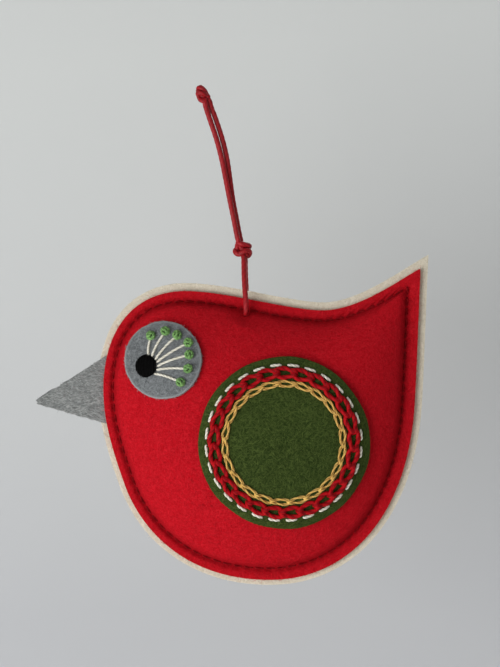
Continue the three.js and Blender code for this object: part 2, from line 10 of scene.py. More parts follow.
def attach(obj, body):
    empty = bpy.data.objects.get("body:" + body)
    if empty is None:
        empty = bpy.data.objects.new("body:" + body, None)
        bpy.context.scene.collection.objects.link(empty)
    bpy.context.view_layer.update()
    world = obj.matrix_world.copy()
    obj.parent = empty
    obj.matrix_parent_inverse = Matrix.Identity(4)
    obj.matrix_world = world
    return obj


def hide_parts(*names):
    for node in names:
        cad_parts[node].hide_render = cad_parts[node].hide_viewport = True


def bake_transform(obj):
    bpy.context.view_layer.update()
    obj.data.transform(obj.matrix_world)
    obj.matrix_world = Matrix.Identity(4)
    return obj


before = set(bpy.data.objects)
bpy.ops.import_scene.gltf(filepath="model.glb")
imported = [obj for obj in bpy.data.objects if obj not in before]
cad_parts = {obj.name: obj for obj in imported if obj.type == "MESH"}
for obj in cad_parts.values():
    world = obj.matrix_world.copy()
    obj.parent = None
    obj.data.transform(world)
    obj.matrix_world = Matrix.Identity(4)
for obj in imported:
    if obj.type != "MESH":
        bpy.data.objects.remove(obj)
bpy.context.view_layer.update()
mm = 0.001

# Where the bird hangs: its own frame has its origin in the cord's hole, x along the body, z up
hanging = {"leanDeg": 7.1639, "hole": (3.53, -0.0588, -53.95)}
lean = math.radians(hanging["leanDeg"])
birdFrame = Matrix.Translation(Vector(hanging["hole"]) * mm) @ Matrix.Rotation(lean, 4, "Y")


# Puts a mesh, a curve, a camera or a light into the scene
def placed(name, data):
    made = bpy.data.objects.new(name, data)
    bpy.context.scene.collection.objects.link(made)
    return made


# The camera, square to the wall and turned as the photograph is
photo = {
    "pixel": 0.25,  # millimetres of the object for one pixel
    "size": (500, 667),
    "mount": (205.0, 102.0),  # the pixel where the cord hangs
    "distance": 800,
    "sensor": 36,
    "clip": (10, 10000),
}


def makeCamera():
    right = Vector((math.cos(lean), 0, -math.sin(lean)))
    up = Vector((math.sin(lean), 0, math.cos(lean)))
    wide, high = photo["size"]
    across = (wide / 2 - photo["mount"][0]) * photo["pixel"]
    down = (high / 2 - photo["mount"][1]) * photo["pixel"]
    data = bpy.data.cameras.new("camera")
    data.sensor_width = photo["sensor"]
    data.lens = photo["sensor"] * photo["distance"] / (high * photo["pixel"])
    data.clip_start, data.clip_end = (limit * mm for limit in photo["clip"])
    camera = placed("camera", data)
    turned = Matrix((right, up, (0, -1, 0))).transposed().to_4x4()
    place = (right * across - up * down) * mm - Vector((0, photo["distance"] * mm, 0))
    camera.matrix_world = Matrix.Translation(place) @ turned
    bpy.context.scene.camera = camera


makeCamera()
print("camera set")


# Meshes from arrays
def newMesh(name, points, faces, values=None):
    mesh = bpy.data.meshes.new(name)
    mesh.from_pydata((np.asarray(points) * mm).tolist(), [], [list(map(int, f)) for f in faces])
    for key, numbers in (values or {}).items():
        attribute = mesh.attributes.new(key, "FLOAT", "POINT")
        attribute.data.foreach_set("value", np.asarray(numbers, dtype=np.float32))
    mesh.shade_smooth()
    return placed(name, mesh)


def gridFaces(rows, columns, closed=True):
    wrap = columns if closed else columns - 1
    faces = []
    for r in range(rows - 1):
        for c in range(wrap):
            n = (c + 1) % columns
            a, b = r * columns, (r + 1) * columns
            faces.append((a + c, a + n, b + n, b + c))
    return faces


# Triangles from a ring of points to one point in its middle
def fan(first, count, tip):
    return [(first + k, first + (k + 1) % count, tip) for k in range(count)]


# The evaluated mesh of an object as a plain mesh of its own, with no modifiers left
def settle(made):
    bpy.context.view_layer.update()
    graph = bpy.context.evaluated_depsgraph_get()
    mesh = bpy.data.meshes.new_from_object(made.evaluated_get(graph), depsgraph=graph)
    mesh.name = made.name
    old = made.data
    made.modifiers.clear()
    made.data = mesh
    bpy.data.meshes.remove(old)
    mesh.shade_smooth()
    return made


# A smooth line through the given points, in steps of about the given length
def smoothLine(points, step):
    knots = np.asarray(points, dtype=float)
    knots = np.vstack([2 * knots[0] - knots[1], knots, 2 * knots[-1] - knots[-2]])
    line = []
    for i in range(1, len(knots) - 2):
        a, b, c, d = knots[i - 1 : i + 3]
        slope = c - a
        bend = 2 * a - 5 * b + 4 * c - d
        change = 3 * b - a - 3 * c + d
        count = max(2, int(math.ceil(np.linalg.norm(c - b) / step)))
        for t in np.arange(count) / count:
            line.append(0.5 * (2 * b + slope * t + bend * t**2 + change * t**3))
    line.append(knots[-2])
    return np.array(line)


# How far along a line each of its points is
def distances(line):
    return np.concatenate([[0], np.cumsum(np.linalg.norm(np.diff(line, axis=0), axis=1))])


def unit(vectors):
    return vectors / np.linalg.norm(vectors, axis=-1, keepdims=True)


# Two directions square to a line at each of its points, which turn as little as they can
def besideLine(line):
    tangents = unit(np.gradient(line, axis=0))
    side = unit(np.cross(tangents[0], (0.0, 1.0, 0.01)))
    sides = []
    for tangent in tangents:
        side = unit(side - tangent * side.dot(tangent))
        sides.append(side)
    return np.array(sides), np.cross(tangents, sides)


# A thread or cord of twisted strands along a line: rings of lobes that turn as they go
threadLook = {"lobePower": 0.7, "leastEnd": 0.12}


def sweep(line, yarn):
    radius, around = yarn["diameter"] / 2, yarn["sides"]
    along = distances(line)
    side, over = besideLine(line)
    points, crease = [], []
    for i, place in enumerate(line):
        near = min(1.0, min(along[i], along[-1] - along[i]) / radius)
        rounded = max(threadLook["leastEnd"], math.sqrt(1 - (1 - near) ** 2))
        turned = 2 * math.pi * along[i] / yarn["pitch"]
        for k in range(around):
            angle = 2 * math.pi * k / around
            lobe = abs(math.cos(yarn["plies"] * (angle - turned) / 2)) ** threadLook["lobePower"]
            reach = radius * rounded * (1 - yarn["relief"] * (1 - lobe))
            points.append(place + reach * (math.cos(angle) * side[i] + math.sin(angle) * over[i]))
            # How deep in a furrow between strands the point lies: the mask for the yarn's painted shade
            crease.append(1 - lobe)
    faces = gridFaces(len(line), around)
    faces.append(tuple(range(around))[::-1])
    faces.append(tuple(range(len(points) - around, len(points))))
    return np.array(points), [face[::-1] for face in faces], crease


def outwards(made):
    work = bmesh.new()
    work.from_mesh(made.data)
    bmesh.ops.recalc_face_normals(work, faces=work.faces)
    work.to_mesh(made.data)
    work.free()
    return made


# One mesh of a thread along each of the lines
def threadMesh(name, lines, yarn):
    points, faces, crease = [], [], []
    for line in lines:
        linePoints, lineFaces, lineCrease = sweep(line, yarn)
        faces += [tuple(len(crease) + v for v in face) for face in lineFaces]
        points.append(linePoints)
        crease += lineCrease
    return outwards(newMesh(name, np.vstack(points), faces, {"crease": crease}))


# The cord: two strands from the top knot to the lower one, and a loop from there through the bird
cordLook = {
    "yarn": {"diameter": 1.34, "plies": 3, "pitch": 4.6, "relief": 0.1, "sides": 24},
    "left": [
        (0.1, -0.3, 1.2), (-0.05, -0.45, 0), (0.14, -0.45, -1.75), (0.65, -0.45, -4.4),
        (1.7, -0.47, -9.6), (2.38, -0.5, -14.8), (2.75, -0.6, -19.8), (3.11, -0.68, -25),
        (3.5, -0.7, -30), (3.69, -0.72, -33), (3.88, -0.72, -35.2), (4.2, -0.5, -36.6),
    ],
    "right": [
        (0.7, 0.3, 1.2), (1.15, 0.45, 0), (1.43, 0.45, -1.75), (2.1, 0.45, -4.4), (3.11, 0.47, -9.6),
        (3.68, 0.5, -14.8), (3.78, 0.6, -19.8), (3.86, 0.68, -25), (4.17, 0.7, -30), (4.34, 0.72, -33),
        (4.53, 0.72, -35.2), (4.6, 0.5, -36.6),
    ],
    "belowBehind": [
        (4.78, 0.6, -38.9), (4.84, 1.2, -40.2), (4.68, 1.75, -41.6), (4.41, 2.6, -44.2),
        (4.18, 3.35, -47.2), (4.01, 3.9, -50.2), (3.85, 4.05, -51.7), (3.69, 3.6, -53.1),
        (3.56, 2.75, -53.8), (3.53, 1.7, -53.95),
    ],
    "turn": (3.53, 0, -53.95),
    "frontLeft": 0.1,
    "backRight": 0.24,
    "meetOver": 6,
    "turnsFrom": (0.0012, 0, -0.008),  # metres, like turnsTo
    "turnsTo": (0.0044, 0, -0.0352),
    "step": 0.25,
    "knotStep": 0.2,
}


def makeCord(name, route):
    line = smoothLine(route, cordLook["step"])
    return threadMesh(name, [line], cordLook["yarn"]), line


# The loop's front half comes down a little left of its back half, and they meet at the hole
def lowerRoute():
    before, after = [], []
    for x, y, z in cordLook["belowBehind"]:
        free = min(1, (z - cordLook["turn"][2]) / cordLook["meetOver"])
        before.append((x - cordLook["frontLeft"] * free, -y, z))
        after.append((x + cordLook["backRight"] * free, y, z))
    return before + [cordLook["turn"]] + after[::-1]


leftStrand, leftLine = makeCord("waxed_cord_left", cordLook["left"])
rightStrand, rightLine = makeCord("waxed_cord_right", cordLook["right"])
lowerCord, lowerLine = makeCord("waxed_cord_lower", lowerRoute())
print("cords made")

# The knots: turns of the cord laid as in the photo, about the middle of each knot
lowerKnotLook = {
    "centre": (4.7, 0, -37.8),
    "turns": [
        [
            (-0.85, -0.2, 2.3), (-0.5, -0.85, 1.75), (0.35, -1.15, 1.3), (1.3, -0.85, 0.85),
            (1.85, 0.0, 0.45), (1.4, 0.95, 0.25), (0.2, 1.3, 0.45), (-0.95, 1.0, 0.6),
            (-1.6, 0.4, 0.4), (-1.85, -0.35, 0.05), (-1.7, -0.8, -0.5), (-1.1, -1.0, -0.95),
            (-0.3, -1.3, -0.75), (0.7, -1.3, -0.45), (1.45, -0.75, -0.65), (1.55, 0.2, -1.2),
            (1.1, 0.5, -1.75), (0.5, 0.2, -2.1),
        ],
        [(-0.55, -0.3, 2.3), (-0.3, -0.55, 1.0), (0.2, -0.45, -0.4), (0.55, -0.35, -1.6), (0.62, -0.2, -2.3)],
        [(0.1, 0.5, 2.3), (0.15, 0.5, 1.0), (0.35, 0.45, -0.6), (0.6, 0.3, -2.3)],
        [(1.2, 0.3, 0.9), (1.7, 0.2, 0.75), (1.95, 0.1, 0.6)],
        [(-0.6, 0.0, 2.0), (-1.1, -0.1, 1.0), (-1.25, 0.0, 0.2), (-0.8, 0.2, -0.5), (-0.2, 0.2, -1.0)],
        [(0.9, 0.3, 1.4), (1.0, 0.35, 0.2), (0.9, 0.3, -1.2)],
    ],
}
topKnotLook = {
    "centre": (-0.55, 0, 2.1),
    "turns": [
        [
            (1.55, 0.3, -1.7), (1.15, 0.1, -0.6), (0.85, -0.35, 0.5), (0.35, -0.6, 1.35),
            (-0.3, -0.1, 1.6), (-0.5, 0.65, 1.0), (0.2, 0.85, 0.1), (0.85, 0.45, -0.45),
            (0.75, -0.5, -0.3), (0.0, -0.95, 0.15), (-0.75, -0.55, 0.45), (-0.85, 0.35, 0.0),
            (-0.75, 0.4, -0.8), (-0.6, -0.3, -1.4), (0.0, -0.6, -1.9), (0.5, -0.5, -2.4),
        ],
        [(0.2, 0.0, 1.2), (0.1, 0.0, 1.9), (0.05, 0.05, 2.3)],
        [(-0.4, 0.1, 0.7), (-0.95, 0.1, 1.05), (-1.25, 0.1, 1.2)],
        [(0.7, 0.1, -2.2), (0.1, 0.1, -0.6), (0.2, 0.0, 1.0)],
    ],
}


def makeKnot(name, look):
    turned = Matrix.Rotation(-lean, 3, "Y")
    lines = []
    for turn in look["turns"]:
        line = smoothLine([turned @ Vector(place) for place in turn], cordLook["knotStep"])
        lines.append(line + look["centre"])
    return threadMesh(name, lines, cordLook["yarn"])


lowerKnot = makeKnot("cord_knot_lower", lowerKnotLook)
topKnot = makeKnot("cord_knot_top", topKnotLook)
print("knots made")

# The body: the outline of the front felt as a start and seven curves, in shares of its length and height
bodyLook = {
    "length": 79.2,
    "height": 77.9,
    "start": (1, 1),
    "curves": [
        (0.994, 0.87, 0.99, 0.72, 0.982, 0.58), (0.967, 0.225, 0.787, 0, 0.524, 0),
        (0.248, 0, 0.109, 0.172, 0.062, 0.319), (0.03, 0.411, 0, 0.51, 0, 0.609),
        (0, 0.812, 0.101, 0.926, 0.259, 0.926), (0.386, 0.926, 0.585, 0.864, 0.69, 0.864),
        (0.8, 0.864, 0.925, 0.955, 1, 1),
    ],
    "felt": 1.2,
    "cornerPasses": 2,
    "rimThin": 0.3,
    "rounding": 0.32,
    "seamInset": 2.75,
    "seamShift": (-0.35, 0.15),
    "backMargin": 1.65,
    "backShift": (0.2, 0.35),
    "puff": {-1: 10.2, 1: 11.6},
    "puffPower": 1.25,
    "groove": 1.0,
    "grooveWidth": 1.0,
    "pucker": 0.03,
    "around": 480,
    "perCurve": 200,
    "nearestShare": 0.98,
    "holeShare": 0.449,
    "holeFromSeam": 1.2,
    "dimple": (2.6, 0.75),
    "lumps": 0.16,
}
seamLook = {
    "pitch": 2.7,
    "arch": {"length": 2.2, "height": 0.34, "drop": 0.5, "power": 3, "points": 13},
    "yarn": {"diameter": 0.5, "plies": 2, "pitch": 1.6, "relief": 0.2, "sides": 8},
}


def outlinePoints():
    here = np.array(bodyLook["start"], dtype=float)
    t = np.linspace(0, 1, bodyLook["perCurve"], endpoint=False)[:, None]
    dense = []
    for curve in bodyLook["curves"]:
        a, b, end = np.array(curve, dtype=float).reshape(3, 2)
        dense.append((1 - t) ** 3 * here + 3 * (1 - t) ** 2 * t * a + 3 * (1 - t) * t**2 * b + t**3 * end)
        here = end
    dense = np.vstack(dense + [here]) * (bodyLook["length"], bodyLook["height"])
    along = distances(dense)
    at = np.linspace(0, along[-1], bodyLook["around"], endpoint=False)
    return np.stack([np.interp(at, along, dense[:, c]) for c in (0, 1)], axis=1)


# Each point's next one round a closed loop
def nextOf(loop):
    return np.roll(loop, -1, axis=0)


# Directions out of a clockwise loop, longer where a corner needs it
def outwardOf(loop):
    ahead = nextOf(loop) - loop
    after = unit(np.stack([-ahead[:, 1], ahead[:, 0]], axis=1))
    between = unit(np.roll(after, 1, axis=0) + after)
    return between / np.sum(between * after, axis=1)[:, None]


def insetLoop(loop, distance):
    sides = nextOf(loop) - loop
    nearest = bodyLook["nearestShare"] * distance  # what a corner brings nearer is dropped
    kept = []
    for point in loop - outwardOf(loop) * distance:
        share = np.clip(np.sum((point - loop) * sides, axis=1) / np.sum(sides * sides, axis=1), 0, 1)
        if np.min(np.linalg.norm(loop + sides * share[:, None] - point, axis=1)) > nearest:
            kept.append(point)
    return np.array(kept)


# Where the lines from the middle to each target cross a loop
def alongRays(loop, centre, targets):
    a = loop - centre
    side = nextOf(loop) - loop
    crossings = []
    for target in targets:
        ray = target - centre
        share = -(a[:, 0] * ray[1] - a[:, 1] * ray[0]) / (side[:, 0] * ray[1] - side[:, 1] * ray[0])
        place = a + side * share[:, None]
        hit = (share >= 0) & (share <= 1) & (place @ ray > 0)
        crossings.append(place[np.argmax(hit)] + centre)
    return np.array(crossings)


def topEdgeAt(loop, x):
    a, b = loop, nextOf(loop)
    crosses = (a[:, 0] <= x) != (b[:, 0] <= x)
    share = (x - a[crosses, 0]) / (b[crosses, 0] - a[crosses, 0])
    return float(np.max(a[crosses, 1] + share * (b[crosses, 1] - a[crosses, 1])))


# Scissors leave a corner a little round
def softened(loop, passes):
    for _ in range(passes):
        loop = (np.roll(loop, 1, axis=0) + 2 * loop + nextOf(loop)) / 4
    return loop


# Every loop from here on is measured from the cord's hole
sharpEdge = outlinePoints()
innerLoop = insetLoop(sharpEdge, bodyLook["seamInset"]) + bodyLook["seamShift"]
holeX = bodyLook["holeShare"] * bodyLook["length"]
bodyOrigin = np.array([holeX, topEdgeAt(innerLoop, holeX) - bodyLook["holeFromSeam"]])
sharpEdge = sharpEdge - bodyOrigin
innerLoop = innerLoop - bodyOrigin
middle = innerLoop.mean(axis=0)
seam = alongRays(innerLoop, middle, sharpEdge)
seamSteps = np.linalg.norm(nextOf(seam) - seam, axis=1)
seamStitches = round(seamSteps.sum() / seamLook["pitch"])
backEdge = sharpEdge + outwardOf(sharpEdge) * bodyLook["backMargin"] + bodyLook["backShift"]
edge = softened(sharpEdge, bodyLook["cornerPasses"])


def bodyPlace(along, up):
    return np.array([along * bodyLook["length"], up * bodyLook["height"]]) - bodyOrigin


# Depth inside the seam, smooth all over; the seam is thinned and the points go in batches for speed
def depthInside(points, every=2, batch=2000):
    a, b = seam[::every], nextOf(seam[::every])
    total = []
    for start in range(0, len(points), batch):
        p = points[start : start + batch, None, :]
        da, db = a[None] - p, b[None] - p
        la, lb = np.linalg.norm(da, axis=2), np.linalg.norm(db, axis=2)
        with np.errstate(divide="ignore", invalid="ignore"):
            half = (db[..., 0] * da[..., 1] - da[..., 0] * db[..., 1]) / (la * lb + np.sum(da * db, axis=2))
            total.append(np.sum(half * (1 / la + 1 / lb), axis=1))
    total = np.concatenate(total)
    return np.where(total > 0, 2 / np.maximum(total, 1e-9), 0)


# The deepest point is looked for on a few coarse rings about the middle
coarse = np.vstack([middle + (seam[::8] - middle) * share for share in (0, 0.25, 0.5)])
deepest = float(np.max(depthInside(coarse)))


# How far a felt is puffed out at each point, as a share of its greatest height
def swell(points):
    share = np.minimum(1, depthInside(points) / deepest)
    wide, strong = bodyLook["dimple"]
    dimple = strong * bell(np.linalg.norm(points, axis=1) / wide)
    return (1 - (1 - share) ** bodyLook["puffPower"]) * (1 - dimple)


beakLook = {
    "tip": (-0.2095, 0.57),
    "top": (0.0032, 0.716),
    "bottom": (0.0095, 0.501),
    "rootDepth": 5,
    "tipRadius": 0.5,
    "felt": 1.2,
    "rounding": 0.28,
    "rows": 70,
    "columns": 26,
    "sway": (0.07, 7),
    "wavyX": (0.06, 3.1),
    "wavyZ": (0.05, 2.3),
    "leastTip": 0.1,
    "halfRoom": (0.9, 0.15),
    "blend": 5,
}
beakTip, beakTop, beakBottom = (bodyPlace(*beakLook[key]) for key in ("tip", "top", "bottom"))
beakHigh = beakTop[1] - beakBottom[1]
beakRootX = bodyPlace(0, 0)[0] + beakLook["rootDepth"]


# A bell curve, 1 in its middle
def bell(x):
    return np.exp(-(x**2))


def smoothStep(low, high, x):
    t = np.clip((x - low) / (high - low), 0, 1)
    return t * t * (3 - 2 * t)


# Half the room between the two felts: wide where the beak is sewn in, narrow elsewhere
def halfRoom(points):
    beside = np.abs(points[:, 1] - (beakTop[1] + beakBottom[1]) / 2) - beakHigh / 2
    away = np.hypot(np.maximum(0, points[:, 0] - beakRootX), np.maximum(0, beside))
    closed = smoothStep(bodyLook["felt"], bodyLook["felt"] + beakLook["blend"], away)
    wide, narrow = beakLook["halfRoom"]
    return wide + (narrow - wide) * closed


# Smooth noise without a random source: a few crossing waves
def waves(points, size, seed):
    total = np.zeros(len(points))
    for k in range(5):
        angle = 1.3 * k + seed
        way = np.array([math.cos(angle), math.sin(angle)])
        total += np.sin(points @ way * 2 * math.pi / (size * (0.7 + 0.23 * k)) + 2.1 * k * seed)
    return total / 5


# Flat points and their heights as points of a mesh
def standing(flat, heights):
    return np.stack([flat[:, 0], np.broadcast_to(heights, len(flat)), flat[:, 1]], axis=1)


# The stuffing: both felts as one coarse pillow, ten times as large, held at the seam and blown up
stuffingLook = {
    "scale": 10,
    "rings": 18,
    "innermost": 0.05,
    "every": 4,
    "start": 0.93,
    "pressure": 60.0,
    "frames": 20,
    "cap": 0.9,
    "seenFrom": 60,
    "fades": (0.3, 5),
}


def pillow():
    loop = seam[:: stuffingLook["every"]]
    count = len(loop)
    shares = np.linspace(1, stuffingLook["innermost"], stuffingLook["rings"])[1:]
    flat = np.vstack([middle + (loop - middle) * share for share in shares] + [middle])
    points = [standing(loop, 0.0)]
    faces = []
    for side in (-1, 1):
        first = sum(len(part) for part in points)
        height = side * stuffingLook["start"] * bodyLook["puff"][side] * swell(flat)
        points.append(standing(flat, height))
        starts = range(first, first + len(shares) * count, count)
        rings = [range(count)] + [range(start, start + count) for start in starts]
        made = []
        for outer, inner in zip(rings, rings[1:]):
            for k in range(count):
                n = (k + 1) % count
                made.append((outer[k], outer[n], inner[n], inner[k]))
        last = first + len(flat) - 1
        made += fan(starts[-1], count, last)
        faces += [face if side > 0 else face[::-1] for face in made]
    return np.vstack(points), faces, count


def blownUp():
    points, faces, held = pillow()
    made = newMesh("stuffed pillow", points * stuffingLook["scale"], faces)
    made.vertex_groups.new(name="seam").add(list(range(held)), 1.0, "REPLACE")
    cloth = made.modifiers.new("stuffing", "CLOTH")
    cloth.settings.vertex_group_mass = "seam"
    cloth.settings.use_pressure = True
    cloth.settings.uniform_pressure_force = stuffingLook["pressure"]
    cloth.settings.effector_weights.gravity = 0
    scene = bpy.context.scene
    for moment in range(1, stuffingLook["frames"] + 1):
        scene.frame_set(moment)
    settle(made)
    moved = np.empty(len(points) * 3)
    made.data.vertices.foreach_get("co", moved)
    bpy.data.objects.remove(made)
    scene.frame_set(1)
    moved = moved.reshape(-1, 3) / (mm * stuffingLook["scale"])
    before = BVHTree.FromPolygons(points.tolist(), faces)
    after = BVHTree.FromPolygons(moved.tolist(), faces)
    print("body blown up, largest move", round(float(np.abs(moved - points).max()), 2), "mm")
    return before, after


stuffed = blownUp()


# How much higher the stuffing has pushed a felt at each of its points
def pushed(side, flat, depth):
    change = np.zeros(len(flat))
    if not stuffed:
        return change
    for i in np.nonzero(depth > stuffingLook["fades"][0])[0]:
        above = Vector((flat[i, 0], side * stuffingLook["seenFrom"], flat[i, 1]))
        low, high = (tree.ray_cast(above, Vector((0, -side, 0)))[0] for tree in stuffed)
        if low and high:
            change[i] = side * (high.y - low.y)
    settled = bodyLook["puff"][side] * (1 - stuffingLook["start"]) * swell(flat)
    change = np.clip(change - settled, -stuffingLook["cap"], stuffingLook["cap"])
    return change * smoothStep(*stuffingLook["fades"], depth)


# A body felt is rings of points: from its cut rim to the seam, close inside the seam, and on inwards
sheetLook = {
    "rim": (1, 0.9, 0.72, 0.55, 0.42, 0.32, 0.22, 0.14, 0.07),
    "nearSeam": (0, 0.2, 0.4, 0.65, 0.95, 1.3, 1.75, 2.3),
    "inwards": (0.955, 0.02, 34),
    "farInside": 9.0,
    "slopeStep": 0.3,
    "steepest": 1.2,
    "footWidth": 1.1,
    "rimThins": (0.3, 2.4),
    "stitchGrip": 0.14,
    "puckerFades": 2.4,
    "lumpSize": 17,
    "lumpsFrom": (2, 10),
    "rimWave": (0.1, 9),
    "rimWaveFrom": 0.5,
    "shadeWidth": 1.1,
    "leastRoom": 0.12,
    "leastPinch": 0.15,
}


# The flat places of the rings, and how far each point lies inside the seam
def sheetRings(rim):
    count = bodyLook["around"]
    inward = seam - middle
    slant = np.linalg.norm(edge - seam, axis=1) / bodyLook["seamInset"] / np.linalg.norm(inward, axis=1)
    rings, offsets = [], []
    for share in sheetLook["rim"]:
        rings.append(seam + (rim - seam) * share)
        offsets.append(np.full(count, -share * bodyLook["seamInset"]))
    for depth in sheetLook["nearSeam"]:
        rings.append(middle + inward * (1 - depth * slant)[:, None])
        offsets.append(np.full(count, depth))
    last = 1 - sheetLook["nearSeam"][-1] * slant
    for share in np.linspace(*sheetLook["inwards"]):
        rings.append(middle + inward * (last * share)[:, None])
        offsets.append(np.full(count, sheetLook["farInside"]))
    return np.vstack(rings), np.concatenate(offsets)


def steepness(flat, height):
    step = sheetLook["slopeStep"]
    across, up = ((swell(flat + way) - swell(flat - way)) / (2 * step) for way in np.eye(2) * step)
    return np.minimum(sheetLook["steepest"], np.hypot(across, up) * height)


# The outer face of a body felt: puffed inside the seam, drawn in at it, flat and thinner at the rim
def feltSheet(name, side, rim):
    look, height = sheetLook, bodyLook["puff"][side]
    flat, offset = sheetRings(rim)
    count = bodyLook["around"]
    ringCount = len(flat) // count
    along = np.concatenate([[0], np.cumsum(seamSteps)[:-1]])
    stitch = np.tile(np.cos(2 * math.pi * seamStitches * along / seamSteps.sum()), ringCount)
    inside = offset > 0
    rise = np.zeros(len(flat))
    rise[inside] = swell(flat[inside])
    slope = np.zeros(len(flat))
    slope[inside] = steepness(flat[inside], height)
    foot = smoothStep(0, look["footWidth"], offset)
    thick = bodyLook["felt"] * (1 + (np.sqrt(1 + slope**2) - 1) * foot)
    thick *= 1 - bodyLook["rimThin"] * smoothStep(*look["rimThins"], -offset)
    grip = 1 - look["stitchGrip"] * (1 - stitch)
    groove = bodyLook["groove"] * bell(offset / bodyLook["grooveWidth"]) * grip
    depth = np.where(offset == look["farInside"], depthInside(flat), np.maximum(offset, 0))
    pucker = 1 + bodyLook["pucker"] * stitch * np.exp(-depth / look["puckerFades"]) * inside
    lumpy = bodyLook["lumps"] * smoothStep(*look["lumpsFrom"], depth)
    lumps = waves(flat, look["lumpSize"], 0.7 + side) * lumpy
    strong, size = look["rimWave"]
    wavyRim = strong * waves(flat, size, 1.9 + side) * (offset < -look["rimWaveFrom"])
    outer = halfRoom(flat) + thick + height * rise * pucker - groove + lumps + wavyRim
    outer += pushed(side, flat, np.where(inside, depth, 0))
    # shaded: painted shade along the seam groove, which the felt material reads as the groove attribute
    shaded = bell(offset / (bodyLook["grooveWidth"] * look["shadeWidth"]))
    pinched = np.clip((outer - look["leastRoom"]) / bodyLook["felt"], look["leastPinch"], 1)
    points = standing(flat, side * outer)
    points = np.vstack([points, [middle[0], points[-count:, 1].mean(), middle[1]]])
    faces = gridFaces(ringCount, count)
    end = (ringCount - 1) * count
    faces += fan(end, count, len(flat))
    if side < 0:
        faces = [face[::-1] for face in faces]
    made = newMesh(name, points, faces, {"groove": np.append(shaded, 0)})
    group = made.vertex_groups.new(name="thickness")
    for i, weight in enumerate(np.append(pinched, 1).tolist()):
        group.add([i], weight, "REPLACE")
    return made


# A sheet of felt gets its thickness and a soft cut edge
def thickened(made, thickness, rounding):
    solid = made.modifiers.new("thickness", "SOLIDIFY")
    solid.thickness = thickness * mm
    solid.offset = -1
    solid.use_even_offset = False
    if made.vertex_groups:
        solid.vertex_group = "thickness"
    bevel = made.modifiers.new("soft edge", "BEVEL")
    bevel.width = rounding * mm
    bevel.segments = 3
    bevel.limit_method = "ANGLE"
    bevel.angle_limit = math.radians(50)
    return settle(made)


frontFelt = feltSheet("felt_body_front", -1, edge)
backFelt = feltSheet("felt_body_back", 1, backEdge)
print("felt sheets made", len(frontFelt.data.vertices))


# The socket of a name that the node's settings leave in use
def named(sockets, name):
    return next(socket for socket in sockets if socket.name == name and socket.enabled)


# Arithmetic on what a node's socket carries
class Carried:
    def __init__(self, graph, socket):
        self.graph = graph
        self.socket = socket

    def __add__(self, other):
        return self.graph.maths("ADD", self, other)

    def __mul__(self, other):
        return self.graph.maths("MULTIPLY", self, other)

    def __truediv__(self, other):
        return self.graph.maths("DIVIDE", self, other)

    def __rtruediv__(self, other):
        return self.graph.maths("DIVIDE", other, self)

    def __neg__(self):
        return self * -1.0

    __radd__ = __add__
    __rmul__ = __mul__


# One way to add a node to a tree, and short forms for the kinds that are used often
class Graph:
    def __init__(self, tree):
        self.tree = tree

    def fill(self, node, values):
        for key, value in values.items():
            socket = node.inputs[key] if isinstance(key, int) else named(node.inputs, key)
            if isinstance(value, Carried):
                self.tree.links.new(value.socket, socket)
            else:
                socket.default_value = value

    def add(self, kind, settings=None, values=None):
        made = self.tree.nodes.new(kind)
        for key, value in (settings or {}).items():
            setattr(made, key, value)
        self.fill(made, values or {})
        return made

    def out(self, node, output):
        if isinstance(output, str):
            return Carried(self, named(node.outputs, output))
        return Carried(self, [socket for socket in node.outputs if socket.enabled][output])

    def get(self, kind, settings=None, values=None, output=0):
        return self.out(self.add(kind, settings, values), output)

    def maths(self, operation, *operands):
        return self.get("ShaderNodeMath", {"operation": operation}, dict(enumerate(operands)))

    def vectorMaths(self, operation, *operands):
        return self.get("ShaderNodeVectorMath", {"operation": operation}, dict(enumerate(operands)))

    def vector(self, x=0.0, y=0.0, z=0.0):
        return self.get("ShaderNodeCombineXYZ", values={0: x, 1: y, 2: z})

    def split(self, vector):
        parts = self.add("ShaderNodeSeparateXYZ", values={0: vector})
        return [self.out(parts, i) for i in range(3)]

    def rotation(self, y=0.0, z=0.0):
        return self.get("FunctionNodeEulerToRotation", values={0: self.vector(0.0, y, z)})

    def chance(self, low, high, seed):
        values = {2: low, 3: high, "Seed": seed}
        return self.get("FunctionNodeRandomValue", {"data_type": "FLOAT"}, values, "Value")

    def shapeOf(self, thing):
        return self.get("GeometryNodeObjectInfo", values={"Object": thing}, output="Geometry")


# A geometry tree with named inputs, given as a table of name to socket kind
def geometryGraph(name, inputs):
    tree = bpy.data.node_groups.new(name, "GeometryNodeTree")
    tree.interface.new_socket("Geometry", in_out="INPUT", socket_type="NodeSocketGeometry")
    for key, kind in inputs.items():
        tree.interface.new_socket(key, in_out="INPUT", socket_type="NodeSocket" + kind)
    tree.interface.new_socket("Geometry", in_out="OUTPUT", socket_type="NodeSocketGeometry")
    graph = Graph(tree)
    source = graph.add("NodeGroupInput")
    given = {o.name: Carried(graph, o) for o in source.outputs if o.name}
    return graph, given


def finishGraph(graph, geometry):
    graph.add("NodeGroupOutput", values={"Geometry": geometry})
    return graph.tree


def withMaterial(graph, given, geometry):
    values = {"Geometry": geometry, "Material": given["Material"]}
    return finishGraph(graph, graph.get("GeometryNodeSetMaterial", values=values))


# Runs a geometry tree on an object and keeps the result as a plain mesh
def grow(made, tree, values):
    modifier = made.modifiers.new(tree.name, "NODES")
    modifier.node_group = tree
    for item in tree.interface.items_tree:
        if item.item_type == "SOCKET" and item.in_out == "INPUT" and item.name in values:
            modifier[item.identifier] = values[item.name]
    return settle(made)


# Lays flat geometry on felt: x and z stay, and -y becomes the height above the felt
rayLook = {"from": 50, "length": 100}


